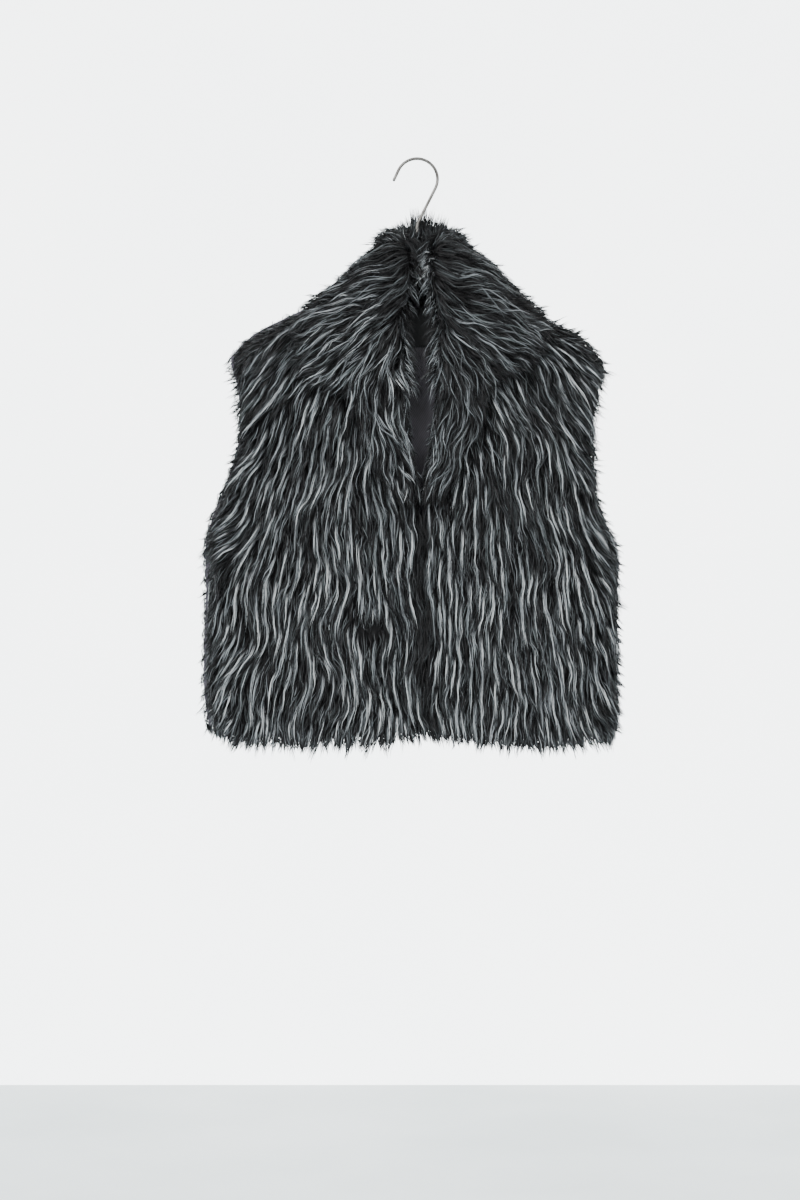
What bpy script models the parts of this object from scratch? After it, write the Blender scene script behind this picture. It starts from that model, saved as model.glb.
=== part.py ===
"""A cropped faux fur vest with a shawl collar, hung on a steel hanger.

Metres, +Z up. X runs across the vest, -Y is its front and +Y its back. The origin is
where the hook bears on its nail: the underside of the wire, at the top of the hook.
Heights are therefore negative below the hook. Left and right are as seen from the front.
Fur walls are as thick as cloth and combed pile together, so they reach to the fur's tips.
"""

import math
from collections import namedtuple

import bmesh
import bpy
from mathutils import Vector

# Cloth
FUR_WALL = 0.013
LINING_WALL = 0.0010
LABEL_WALL = 0.0010
SEAM_GAP = 0.0003

# Torso of the vest, hanging
DEPTH = 0.042
HEM_FLARE = 0.005
HEM_FLARE_FROM = -0.50
HEM_LEVEL = -0.775
HEM_TURN_UP = 0.006
SHOULDER_PEAK = -0.126
SHOULDER_SLOPE = 0.48
SHOULDER_STRAIGHT_TO = 0.205
SHOULDER_TIP_RUN = 0.043
SHOULDER_TIP_DROP = {-1: 0.018, 1: 0.030}
SHOULDER_ROUND = 0.045
SIDE_ROUND_POWER = 4.5
NECK_CENTRE = 0.005
NECK_OUT = 0.064
NECK_EDGE_BLEND = 0.016
CLOSING_GROOVE = 0.006
CLOSING_GROOVE_WIDTH = 0.035

# Locks of the pile, raised on the outer faces
LOCK_DEPTH = 0.0040
LOCK_SWAY = 0.0030
LOCK_WAVE = 0.125
HEM_TUFT = 0.0045

# Grid of a panel: shares of the way from its front edge, or the centre, to the side
SIDE_COLUMNS = (1.0, 0.985, 0.955, 0.915, 0.87)
FRONT_LOCK_COLUMNS = 17
FRONT_EDGE_COLUMNS = (0.085, 0.055, 0.028, 0.0)
FRONT_ROWS_BELOW_OPENING = 9
BACK_LOCK_COLUMNS = 13
BACK_ROWS = 12
HEM_ROW = 0.025
TOP_ROWS = (0.93, 0.955, 0.975, 0.99, 1.0)

SideRow = namedtuple("SideRow", "z left right armhole_gap")
SIDES = (
    SideRow(-0.790, 0.262, 0.258, 0.0),
    SideRow(-0.765, 0.272, 0.266, 0.0),
    SideRow(-0.735, 0.281, 0.270, 0.0),
    SideRow(-0.690, 0.284, 0.270, 0.0),
    SideRow(-0.640, 0.283, 0.270, 0.0),
    SideRow(-0.590, 0.281, 0.269, 0.0),
    SideRow(-0.550, 0.280, 0.270, 0.0),
    SideRow(-0.520, 0.284, 0.269, 0.0),
    SideRow(-0.490, 0.278, 0.257, 0.009),
    SideRow(-0.455, 0.266, 0.244, 0.015),
    SideRow(-0.400, 0.245, 0.236, 0.019),
    SideRow(-0.350, 0.236, 0.234, 0.019),
    SideRow(-0.310, 0.237, 0.240, 0.0135),
    SideRow(-0.290, 0.242, 0.247, 0.0065),
    SideRow(-0.274, 0.247, 0.252, 0.0),
    SideRow(-0.120, 0.250, 0.252, 0.0),
)

HemRow = namedtuple("HemRow", "across z")
HEM = (
    HemRow(-1.00, -0.757),
    HemRow(-0.93, -0.772),
    HemRow(-0.60, -0.777),
    HemRow(-0.30, -0.775),
    HemRow(0.00, -0.766),
    HemRow(0.30, -0.773),
    HemRow(0.60, -0.779),
    HemRow(0.93, -0.774),
    HemRow(1.00, -0.760),
)

OpeningRow = namedtuple("OpeningRow", "z out")
FRONT_OPENING = (
    OpeningRow(-0.4740, 0.0000),
    OpeningRow(-0.4580, 0.0065),
    OpeningRow(-0.4420, 0.0118),
    OpeningRow(-0.4230, 0.0170),
    OpeningRow(-0.3990, 0.0224),
    OpeningRow(-0.3700, 0.0278),
    OpeningRow(-0.3350, 0.0326),
    OpeningRow(-0.2950, 0.0364),
    OpeningRow(-0.2500, 0.0396),
    OpeningRow(-0.2120, 0.0445),
    OpeningRow(-0.1880, 0.0505),
    OpeningRow(-0.1720, 0.0565),
    OpeningRow(-0.1620, 0.0610),
    OpeningRow(-0.1567, 0.0640),
)

NeckRow = namedtuple("NeckRow", "out z")
BACK_NECKLINE = (
    NeckRow(0.000, -0.1840),
    NeckRow(0.020, -0.1825),
    NeckRow(0.040, -0.1735),
    NeckRow(0.054, -0.1640),
    NeckRow(0.064, -0.1567),
)

ClosingRow = namedtuple("ClosingRow", "z x")
CLOSING = (
    ClosingRow(-0.780, 0.014),
    ClosingRow(-0.690, 0.015),
    ClosingRow(-0.610, 0.009),
    ClosingRow(-0.530, 0.004),
    ClosingRow(-0.475, NECK_CENTRE),
    ClosingRow(-0.100, NECK_CENTRE),
)

FoldRow = namedtuple("FoldRow", "across width out top_z")
FRONT_FOLDS = (
    FoldRow(-0.88, 0.07, -0.004, -0.42),
    FoldRow(-0.56, 0.20, 0.010, -0.44),
    FoldRow(-0.26, 0.09, -0.003, -0.50),
    FoldRow(0.03, 0.16, -0.009, -0.48),
    FoldRow(0.34, 0.10, 0.004, -0.52),
    FoldRow(0.62, 0.18, 0.011, -0.44),
    FoldRow(0.90, 0.06, -0.006, -0.34),
)
BACK_FOLDS = (
    FoldRow(-0.62, 0.16, 0.006, -0.40),
    FoldRow(-0.20, 0.12, -0.004, -0.46),
    FoldRow(0.16, 0.16, 0.006, -0.42),
    FoldRow(0.60, 0.14, -0.004, -0.40),
)

# Shawl collar: a row for each station from the closing, up the opening, round to the back.
# seam is where the collar joins the neckline, top where it starts to roll over, turn the
# way that it rolls (0 forwards, 90 sideways, 180 backwards) and edge its free outer edge.
# The first number of each place is measured out from the opening's centre line.
COLLAR_STATIONS_PER_SIDE = 31
COLLAR_EDGE_THIN = 0.003
COLLAR_EDGE_RUN = 0.30
COLLAR_FALL_CLEAR = 0.0010
COLLAR_SHOULDER_CLEAR = 0.0030
COLLAR_SHOULDER_BLEND = 0.030
ROLL_STEPS = 5
STAND_STEPS = 2
FALL_STEPS = 8
CollarRow = namedtuple("CollarRow", "seam top turn edge half_wall fold_gap bulge")
COLLAR_LEFT = (
    CollarRow((.0080, -.0355, -.452), (.0060, -.0355, -.452), 0, (.015, -.048, -.457), .0015, .0036, 0),
    CollarRow((.0127, -.0355, -.437), (.0103, -.0355, -.437), 0, (.034, -.049, -.441), .0030, .0036, 0),
    CollarRow((.0196, -.0355, -.408), (.0168, -.0355, -.408), 0, (.052, -.050, -.410), .0045, .0036, 0),
    CollarRow((.0264, -.0355, -.372), (.0242, -.0355, -.372), 0, (.068, -.050, -.368), .0056, .0036, .002),
    CollarRow((.0328, -.0355, -.322), (.0298, -.0355, -.322), 0, (.086, -.050, -.326), .0060, .0036, .004),
    CollarRow((.0372, -.0355, -.270), (.0332, -.0355, -.270), 0, (.116, -.050, -.302), .0060, .0040, .006),
    CollarRow((.0410, -.0350, -.225), (.0326, -.0355, -.221), 12, (.153, -.047, -.290), .0060, .0055, .008),
    CollarRow((.0456, -.0300, -.190), (.0190, -.0340, -.176), 32, (.161, -.036, -.244), .0060, .0075, .009),
    CollarRow((.0524, -.0200, -.166), (.0130, -.0290, -.136), 55, (.146, -.018, -.203), .0060, .0080, .007),
    CollarRow((.0600, -.0080, -.151), (.0190, -.0190, -.114), 78, (.122, .002, -.181), .0060, .0080, .007),
    CollarRow((.0580, .0100, -.153), (.0290, .0000, -.107), 108, (.124, .034, -.206), .0060, .0080, .009),
    CollarRow((.0440, .0270, -.1655), (.0260, .0150, -.105), 140, (.094, .052, -.232), .0060, .0080, .007),
    CollarRow((.0230, .0350, -.1765), (.0140, .0215, -.105), 164, (.048, .054, -.246), .0060, .0080, .005),
    CollarRow((.0000, .0360, -.179), (.0000, .0230, -.105), 180, (.000, .054, -.250), .0060, .0080, .004),
)
COLLAR_RIGHT = (
    CollarRow((.0080, -.0355, -.452), (.0060, -.0355, -.452), 0, (.015, -.048, -.457), .0015, .0036, 0),
    CollarRow((.0127, -.0355, -.437), (.0103, -.0355, -.437), 0, (.033, -.049, -.440), .0030, .0036, 0),
    CollarRow((.0196, -.0355, -.408), (.0168, -.0355, -.408), 0, (.050, -.050, -.406), .0045, .0036, 0),
    CollarRow((.0264, -.0355, -.372), (.0242, -.0355, -.372), 0, (.067, -.050, -.360), .0056, .0036, .002),
    CollarRow((.0328, -.0355, -.322), (.0298, -.0355, -.322), 0, (.086, -.050, -.314), .0060, .0036, .004),
    CollarRow((.0372, -.0355, -.270), (.0332, -.0355, -.270), 0, (.114, -.050, -.284), .0060, .0040, .006),
    CollarRow((.0410, -.0350, -.225), (.0326, -.0355, -.221), 12, (.147, -.047, -.268), .0060, .0055, .008),
    CollarRow((.0456, -.0300, -.190), (.0190, -.0340, -.176), 32, (.160, -.036, -.232), .0060, .0075, .010),
    CollarRow((.0524, -.0200, -.166), (.0130, -.0290, -.136), 55, (.151, -.018, -.206), .0060, .0080, .010),
    CollarRow((.0600, -.0080, -.151), (.0200, -.0190, -.113), 78, (.132, .002, -.187), .0060, .0080, .011),
    CollarRow((.0580, .0100, -.153), (.0300, .0000, -.106), 108, (.130, .034, -.210), .0060, .0080, .011),
    CollarRow((.0440, .0270, -.1655), (.0270, .0150, -.105), 140, (.097, .052, -.234), .0060, .0080, .008),
    CollarRow((.0230, .0350, -.1765), (.0140, .0215, -.105), 164, (.048, .054, -.246), .0060, .0080, .005),
    CollarRow((.0000, .0360, -.179), (.0000, .0230, -.105), 180, (.000, .054, -.250), .0060, .0080, .004),
)

# Lining of the back, and the woven label sewn on it under the neck seam
LINING_COLUMNS_OFF = 3
LINING_ROWS_OFF = 1
LABEL_WIDTH = 0.043
LABEL_LEFT = -0.0175
LABEL_TOP = -0.193
LABEL_HEIGHT = 0.053
LABEL_STEPS = 4

# Hanger: one hooked wire on a bent round bar
WIRE_RADIUS = 0.0020
HOOK_RADIUS = 0.0273
HOOK_TIP_ANGLE = 155
HOOK_TIP_RUN = 0.0140
HOOK_LEG_ANGLE = -26.7
HOOK_BEND_RADIUS = 0.020
HOOK_ARC_STEPS = 22
HOOK_BEND_STEPS = 4
WIRE_SIDES = 10
BAR_RADIUS = 0.0040
BAR_SPAN = 0.192
BAR_BEND_RADIUS = 0.040
BAR_BEND_STEPS = 8
BAR_STRAIGHT_STEPS = 5
BAR_SIDES = 10

FUR_COLOUR = (0.020, 0.021, 0.023, 1.0)
LINING_COLOUR = (0.065, 0.063, 0.072, 1.0)
LABEL_COLOUR = (0.012, 0.014, 0.016, 1.0)
STEEL_COLOUR = (0.62, 0.61, 0.59, 1.0)


def clear_scene():
    """Removes every object that the file starts with."""
    for obj in list(bpy.data.objects):
        bpy.data.objects.remove(obj)


def make_material(name, colour, roughness, metallic=0.0):
    """A plain Principled material."""
    material = bpy.data.materials.new(name)
    material.use_nodes = True
    shader = material.node_tree.nodes["Principled BSDF"]
    shader.inputs["Base Color"].default_value = colour
    shader.inputs["Roughness"].default_value = roughness
    shader.inputs["Metallic"].default_value = metallic
    return material


def mix(a, b, share):
    return a + (b - a) * share


def read_smoothly(rows, key, column, at):
    """The column's value at a key between the rows, on a smooth curve through them."""
    keys = [getattr(row, key) for row in rows]
    values = [getattr(row, column) for row in rows]
    if at <= keys[0]:
        return values[0]
    if at >= keys[-1]:
        return values[-1]
    i = max(k for k in range(len(keys) - 1) if keys[k] <= at)
    step = keys[i + 1] - keys[i]
    rise = (values[i + 1] - values[i]) / step

    def slope(k):
        """The curve's slope at row k, level at a turning point so that it never overshoots."""
        if k == 0 or k == len(keys) - 1:
            return rise
        before = (values[k] - values[k - 1]) / (keys[k] - keys[k - 1])
        after = (values[k + 1] - values[k]) / (keys[k + 1] - keys[k])
        return 0.0 if before * after <= 0 else 2 * before * after / (before + after)

    t = (at - keys[i]) / step
    start, end = slope(i) * step, slope(i + 1) * step
    return (
        values[i] * (2 * t**3 - 3 * t**2 + 1)
        + start * (t**3 - 2 * t**2 + t)
        + values[i + 1] * (3 * t**2 - 2 * t**3)
        + end * (t**3 - t**2)
    )


# Torso

def shoulder_z(x):
    """Height of the shoulder line at x, straight over the hanger and dropping past its end."""
    out, side = abs(x), (1 if x > 0 else -1)
    past = max(0.0, out - SHOULDER_STRAIGHT_TO) / SHOULDER_TIP_RUN
    return SHOULDER_PEAK - SHOULDER_SLOPE * out - SHOULDER_TIP_DROP[side] * past**2


def closing_x(z):
    """Where the two fronts meet at that height."""
    return read_smoothly(CLOSING, "z", "x", z)


def opening_out(z):
    """How far the front's edge stands from the closing line: nothing below the opening."""
    return read_smoothly(FRONT_OPENING, "z", "out", z)


def side_x(z, inset, side):
    """x of the side seam or armhole edge on that side, for the surface inset under the outer one."""
    return side * (read_smoothly(SIDES, "z", "left" if side < 0 else "right", z) - inset)


def front_x(share, z, inset, side):
    """x of a front, a share of the way from its own edge to the side."""
    return mix(closing_x(z) + side * opening_out(z), side_x(z, inset, side), share)


def back_x(share, z, inset, side):
    """x of the back, a share of the way from the middle to the side."""
    return side_x(z, inset, side) * share


def back_top(x, inset):
    """Height of the back's top edge at x: the shoulder seam, or the neckline nearer the middle."""
    out = abs(x - NECK_CENTRE)
    if out >= NECK_OUT:
        return shoulder_z(x) - inset
    seam_share = max(0.0, 1 - (NECK_OUT - out) / NECK_EDGE_BLEND)
    return read_smoothly(BACK_NECKLINE, "out", "z", out) - inset * seam_share


def column_top(x_at, top_at):
    """Height where a column of the panel meets the panel's top edge, found by halving."""
    low, high = -0.50, -0.10
    for _ in range(40):
        middle = (low + high) / 2
        if top_at(x_at(middle)) > middle:
            low = middle
        else:
            high = middle
    return (low + high) / 2


def depth_at(x, z, inset, is_front):
    """How far the surface stands from the seam plane at x and that height."""
    middle = closing_x(z) if is_front else 0.0
    side = -1 if x < middle else 1
    across = min(1.0, (x - middle) / (side_x(z, inset, side) - middle)) * side
    flare = HEM_FLARE * max(0.0, (HEM_FLARE_FROM - z) / (HEM_FLARE_FROM - HEM_LEVEL))
    full = DEPTH + flare - inset
    for fold in FRONT_FOLDS if is_front else BACK_FOLDS:
        grown = max(0.0, (fold.top_z - z) / (fold.top_z - HEM_LEVEL))
        full += fold.out * grown * math.exp(-(((across - fold.across) / fold.width) ** 2))
    if is_front and inset == 0:
        full -= CLOSING_GROOVE * math.exp(-((across / CLOSING_GROOVE_WIDTH) ** 2))
    below = max(0.0, shoulder_z(x) - inset - z)
    level = 1 - min(1.0, below / (SHOULDER_ROUND - inset))
    full *= math.sqrt(1 - level**2)
    armhole_gap = read_smoothly(SIDES, "z", "armhole_gap", z)
    side_round = max(0.0, 1 - abs(across) ** SIDE_ROUND_POWER) ** (1 / SIDE_ROUND_POWER)
    return mix(armhole_gap, full, side_round)


def front_column(share, side, ups, inset):
    """The points of one column of a front, from hem to shoulder seam."""
    top = column_top(lambda z: front_x(share, z, inset, side), lambda x: shoulder_z(x) - inset)
    bottom = read_smoothly(HEM, "across", "z", side * share) + (HEM_TURN_UP if inset else 0.0)
    points = []
    for up in ups:
        z = mix(bottom, top, up)
        x = front_x(share, z, inset, side)
        y = -SEAM_GAP / 2 - depth_at(x, z, inset, True)
        points.append(Vector((x + side * SEAM_GAP / 2, y, z)))
    return points


def back_column(share, side, ups, inset):
    """The points of one column of the back, from hem to shoulder seam or neckline."""
    top = column_top(lambda z: back_x(share, z, inset, side), lambda x: back_top(x, inset))
    bottom = read_smoothly(HEM, "across", "z", side * share) + (HEM_TURN_UP if inset else 0.0)
    points = []
    for up in ups:
        z = mix(bottom, top, up)
        x = back_x(share, z, inset, side)
        points.append(Vector((x, SEAM_GAP / 2 + depth_at(x, z, inset, False), z)))
    return points


def raise_locks(points, column, ups):
    """Lays a column's outer points on the crest of a lock of pile, or in the valley beside it."""
    into = 0.0 if column % 2 == 0 else LOCK_DEPTH
    raised = []
    for point, up in zip(points, ups):
        sway = LOCK_SWAY * math.sin(math.tau * point.z / LOCK_WAVE + column * 0.9)
        flat = min(1.0, abs(point.y) / DEPTH) ** 4
        tuft = -HEM_TUFT * math.sin(column * 2.2) * math.cos(column * 0.7) if up == 0 else 0.0
        back_off = -math.copysign(into * flat, point.y)
        raised.append(point + Vector((sway * flat, back_off, tuft)))
    return raised


def spread(first, last, count):
    """Evenly spread shares between first and last, both left out."""
    return [mix(first, last, (i + 1) / (count + 1)) for i in range(count)]


def front_rows():
    """Shares of a front column's height for its rows, close together along the opening."""
    hem, top = HEM[len(HEM) // 2].z, FRONT_OPENING[-1].z
    opening = [(row.z - hem) / (top - hem) for row in FRONT_OPENING]
    return [0.0, HEM_ROW, *spread(HEM_ROW, opening[0], FRONT_ROWS_BELOW_OPENING), *opening]


def front_panel(name, side, material):
    """The left (-1) or right (1) front, from its side seam to the closing."""
    locks = spread(SIDE_COLUMNS[-1], FRONT_EDGE_COLUMNS[0], FRONT_LOCK_COLUMNS)
    ups = front_rows()
    outer, inner = [], []
    for column, share in enumerate([*SIDE_COLUMNS, *locks, *FRONT_EDGE_COLUMNS]):
        outside = front_column(share, side, ups, 0.0)
        outer.append(raise_locks(outside, column, ups) if share in locks else outside)
        inner.append(front_column(share, side, ups, FUR_WALL))
    return wall(name, outer, inner, material)


def back_grids():
    """The outer and inner grids of the back, from one side seam to the other."""
    locks = spread(SIDE_COLUMNS[-1], 0.0, BACK_LOCK_COLUMNS)
    half = [*SIDE_COLUMNS, *locks]
    ups = [0.0, HEM_ROW, *spread(HEM_ROW, TOP_ROWS[0], BACK_ROWS), *TOP_ROWS]
    columns = [(share, -1) for share in half] + [(0.0, 1)] + [(share, 1) for share in reversed(half)]
    outer, inner = [], []
    for column, (share, side) in enumerate(columns):
        outside = back_column(share, side, ups, 0.0)
        is_lock = share in locks or share == 0.0
        outer.append(raise_locks(outside, column, ups) if is_lock else outside)
        inner.append(back_column(share, side, ups, FUR_WALL))
    return outer, inner


def back_lining(name, material):
    """The lining of the back: the panel's inner points moved off it, with its edges left bare."""
    columns = back_grids()[1][LINING_COLUMNS_OFF:-LINING_COLUMNS_OFF]
    outer, inner = [], []
    for c, points in enumerate(columns):
        near, far = [], []
        for r in range(LINING_ROWS_OFF, len(points) - LINING_ROWS_OFF):
            along = columns[min(len(columns) - 1, c + 1)][r] - columns[max(0, c - 1)][r]
            up = points[r + 1] - points[r - 1]
            inwards = along.cross(up).normalized()
            near.append(points[r] + inwards * SEAM_GAP)
            far.append(points[r] + inwards * (SEAM_GAP + LINING_WALL))
        outer.append(near)
        inner.append(far)
    return wall(name, outer, inner, material)


def neck_label(name, material):
    """A bare woven label on the lining, under the middle of the neck seam."""
    near = FUR_WALL + LINING_WALL + 3 * SEAM_GAP
    outer, inner = [], []
    for column in range(LABEL_STEPS):
        x = LABEL_LEFT + LABEL_WIDTH * column / (LABEL_STEPS - 1)
        heights = [LABEL_TOP - LABEL_HEIGHT * row / (LABEL_STEPS - 1) for row in range(LABEL_STEPS)]
        outer.append([Vector((x, depth_at(x, z, 0.0, False) - near, z)) for z in heights])
        inner.append([point - Vector((0, LABEL_WALL, 0)) for point in outer[-1]])
    return wall(name, outer, inner, material)


# Collar

def read_place(rows, place, share):
    """A place of the collar's table at a share of its length, on a smooth curve through the rows."""
    position = share * (len(rows) - 1)
    i = min(int(position), len(rows) - 2)
    t = position - i
    p0, p1, p2, p3 = (
        place(rows[max(0, min(len(rows) - 1, k))]) for k in (i - 1, i, i + 1, i + 2)
    )
    return 0.5 * (
        2 * p1 + (p2 - p0) * t + (2 * p0 - 5 * p1 + 4 * p2 - p3) * t**2
        + (3 * p1 - p0 - 3 * p2 + p3) * t**3
    )


def keep_off_torso(point, half_wall):
    """Moves a point of the collar out until its wall clears the torso's outer surface."""
    axis_z = shoulder_z(point.x) - SHOULDER_ROUND
    on_shoulder = min(1.0, max(0.0, (point.z - axis_z) / COLLAR_SHOULDER_BLEND + 1))
    clearance = half_wall + mix(COLLAR_FALL_CLEAR, COLLAR_SHOULDER_CLEAR, on_shoulder)
    if point.z < axis_z:
        is_front = point.y < 0
        depth = depth_at(point.x, point.z, 0.0, is_front)
        reach = max(abs(point.y), depth + SEAM_GAP / 2 + clearance)
        return Vector((point.x, math.copysign(reach, point.y), point.z))
    shape = Vector((0, point.y / DEPTH, (point.z - axis_z) / SHOULDER_ROUND))
    needed = 1 + clearance / DEPTH
    if shape.length >= needed:
        return point
    shape *= needed / shape.length
    return Vector((point.x, shape.y * DEPTH, axis_z + shape.z * SHOULDER_ROUND))


def collar_station(rows, side, share):
    """The middle line of the collar's wall at one station, with its half thickness at each point."""
    def place(name):
        found = read_place(rows, lambda row: Vector(getattr(row, name)), share)
        return Vector((NECK_CENTRE + side * found.x, found.y, found.z))

    seam, top, edge = place("seam"), place("top"), place("edge")
    half_wall = read_place(rows, lambda row: row.half_wall, share)
    bulge = read_place(rows, lambda row: row.bulge, share)
    turn = math.radians(read_place(rows, lambda row: row.turn, share))
    out = Vector((side * math.sin(turn), -math.cos(turn), 0))
    radius = half_wall + read_place(rows, lambda row: row.fold_gap, share) / 2
    rise = (top - seam).normalized()
    rise = (rise - out * rise.dot(out)).normalized()
    line = [seam.lerp(top, i / STAND_STEPS) for i in range(STAND_STEPS)]
    for i in range(ROLL_STEPS + 1):
        angle = math.pi * i / ROLL_STEPS
        line.append(top + out * radius * (1 - math.cos(angle)) + rise * radius * math.sin(angle))
    fall_from = line[-1]
    lift = (out + Vector((0, 0, 1)) * math.sin(turn)).normalized() * bulge
    for i in range(1, FALL_STEPS + 1):
        down = i / FALL_STEPS
        line.append(fall_from.lerp(edge, down) + lift * math.sin(math.pi * down))
    walls = []
    for i, point in enumerate(line):
        past = max(0.0, (i - (len(line) - 1 - FALL_STEPS)) / FALL_STEPS)
        thin = max(0.0, (past - (1 - COLLAR_EDGE_RUN)) / COLLAR_EDGE_RUN)
        walls.append(mix(half_wall, min(half_wall, COLLAR_EDGE_THIN), thin))
        if past > 0:
            line[i] = keep_off_torso(point, walls[-1])
    return line, walls


def collar(name, material):
    """The shawl collar in one piece: stand, roll and fall, from closing to closing round the back."""
    count = COLLAR_STATIONS_PER_SIDE
    stations = [collar_station(COLLAR_LEFT, -1, i / (count - 1)) for i in range(count)]
    stations += [collar_station(COLLAR_RIGHT, 1, i / (count - 1)) for i in reversed(range(count - 1))]
    lines = [line for line, _ in stations]
    last = len(lines) - 1
    outer, inner = [], []
    for s, (line, walls) in enumerate(stations):
        before, after = lines[max(0, s - 1)], lines[min(last, s + 1)]
        outside, inside = [], []
        for i, point in enumerate(line):
            along = after[i] - before[i]
            across = line[min(len(line) - 1, i + 1)] - line[max(0, i - 1)]
            normal = along.cross(across).normalized()
            on_fur = s % 2 == 1 and i > STAND_STEPS + ROLL_STEPS and walls[i] > LOCK_DEPTH
            outside.append(point + normal * (walls[i] - (LOCK_DEPTH if on_fur else 0.0)))
            inside.append(point - normal * walls[i])
        outer.append(outside)
        inner.append(inside)
    return wall(name, outer, inner, material)


# Hanger

def hook_path():
    """The hook's wire: its straight tip, the round of the hook, the leg, and the shank down."""
    centre_z = WIRE_RADIUS - HOOK_RADIUS
    tip, leg = math.radians(HOOK_TIP_ANGLE), math.radians(HOOK_LEG_ANGLE)

    def on_round(angle):
        return Vector((HOOK_RADIUS * math.cos(angle), 0, centre_z + HOOK_RADIUS * math.sin(angle)))

    start = on_round(tip)
    away = Vector((-math.sin(tip), 0, math.cos(tip)))
    path = [start + away * HOOK_TIP_RUN, start + away * HOOK_TIP_RUN / 2]
    path += [on_round(mix(tip, leg, i / HOOK_ARC_STEPS)) for i in range(HOOK_ARC_STEPS + 1)]
    heading = Vector((math.sin(leg), 0, -math.cos(leg)))
    to_shank = -path[-1].x / heading.x
    corner = path[-1] + heading * to_shank
    tangent = HOOK_BEND_RADIUS * math.tan(abs(leg) / 2)
    path.append((path[-1] + corner) / 2)
    for i in range(HOOK_BEND_STEPS + 1):
        angle = leg * (1 - i / HOOK_BEND_STEPS)
        path.append(Vector((
            HOOK_BEND_RADIUS * (1 - math.cos(angle)),
            0,
            corner.z - tangent - HOOK_BEND_RADIUS * math.sin(angle),
        )))
    seat = bar_apex_z() + BAR_RADIUS + SEAM_GAP
    path += [Vector((0, 0, mix(path[-1].z, seat, 0.5))), Vector((0, 0, seat))]
    return path


def bar_line():
    """Peak height and slope of the bar's straight arms, just under the shoulders' inner ridge."""
    ridge = SHOULDER_PEAK - FUR_WALL
    return ridge - (BAR_RADIUS + SEAM_GAP) * math.hypot(1, SHOULDER_SLOPE), SHOULDER_SLOPE


def bar_apex_z():
    """Height of the bar's centre line at the top of its bend."""
    peak, slope = bar_line()
    return peak - BAR_BEND_RADIUS * (math.hypot(1, slope) - 1)


def bar_path():
    """The bar from tip to tip: two straight arms and the bend between them."""
    peak, slope = bar_line()
    angle = math.atan(slope)
    bend_out = BAR_BEND_RADIUS * math.sin(angle)
    bend_centre = bar_apex_z() - BAR_BEND_RADIUS
    half = [
        Vector((mix(BAR_SPAN, bend_out, i / BAR_STRAIGHT_STEPS), 0, 0))
        for i in range(BAR_STRAIGHT_STEPS)
    ]
    for point in half:
        point.z = peak - slope * point.x
    bend = [
        Vector((
            BAR_BEND_RADIUS * math.sin(mix(angle, -angle, i / BAR_BEND_STEPS)),
            0,
            bend_centre + BAR_BEND_RADIUS * math.cos(mix(angle, -angle, i / BAR_BEND_STEPS)),
        ))
        for i in range(BAR_BEND_STEPS + 1)
    ]
    return half + bend + [Vector((-p.x, 0, p.z)) for p in reversed(half)]


# Meshes

def mesh_object(name, points, faces, material):
    """A named object with its faces turned outwards."""
    made = bmesh.new()
    vertices = [made.verts.new(point) for point in points]
    for face in faces:
        made.faces.new([vertices[i] for i in face])
    bmesh.ops.recalc_face_normals(made, faces=made.faces)
    mesh = bpy.data.meshes.new(name)
    made.to_mesh(mesh)
    made.free()
    mesh.materials.append(material)
    mesh.shade_smooth()
    mesh.set_sharp_from_angle(angle=math.radians(50))
    obj = bpy.data.objects.new(name, mesh)
    bpy.context.scene.collection.objects.link(obj)
    return obj


def wall(name, outer, inner, material):
    """A closed wall between two grids of points that match one for one.

    Each square is split in two by the diagonal that climbs towards the outer column of its
    half, so that a wall laid on another one follows its faces, and corners stay clean.
    """
    columns, rows = len(outer), len(outer[0])
    points = [p for line in outer for p in line] + [p for line in inner for p in line]
    offset = columns * rows

    def at(column, row, layer):
        return layer * offset + column * rows + row

    faces = []
    for column in range(columns - 1):
        for row in range(rows - 1):
            low, far_low = (column, row), (column + 1, row)
            high, far_high = (column, row + 1), (column + 1, row + 1)
            if column < (columns - 1) / 2:
                halves = ((low, far_low, high), (far_low, far_high, high))
            else:
                halves = ((low, far_low, far_high), (low, far_high, high))
            for half in halves:
                faces.append([at(c, r, 0) for c, r in half])
                faces.append([at(c, r, 1) for c, r in reversed(half)])
    rim = [(c, 0) for c in range(columns)]
    rim += [(columns - 1, r) for r in range(1, rows)]
    rim += [(c, rows - 1) for c in reversed(range(columns - 1))]
    rim += [(0, r) for r in reversed(range(1, rows - 1))]
    for here, there in zip(rim, rim[1:] + rim[:1]):
        faces.append([at(*here, 0), at(*here, 1), at(*there, 1), at(*there, 0)])
    return mesh_object(name, points, faces, material)


def rod(name, path, radius, sides, material):
    """A round rod of one radius along a path that lies in the XZ plane, with flat ends."""
    points, faces = [], []
    for i, centre in enumerate(path):
        heading = (path[min(len(path) - 1, i + 1)] - path[max(0, i - 1)]).normalized()
        out = Vector((heading.z, 0, -heading.x))
        for k in range(sides):
            angle = math.tau * k / sides
            points.append(centre + out * radius * math.cos(angle)
                          + Vector((0, radius * math.sin(angle), 0)))
    for i in range(len(path) - 1):
        for k in range(sides):
            after = (k + 1) % sides
            faces.append([i * sides + k, i * sides + after,
                          (i + 1) * sides + after, (i + 1) * sides + k])
    faces.append(list(range(sides)))
    faces.append([(len(path) - 1) * sides + k for k in reversed(range(sides))])
    return mesh_object(name, points, faces, material)


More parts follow.
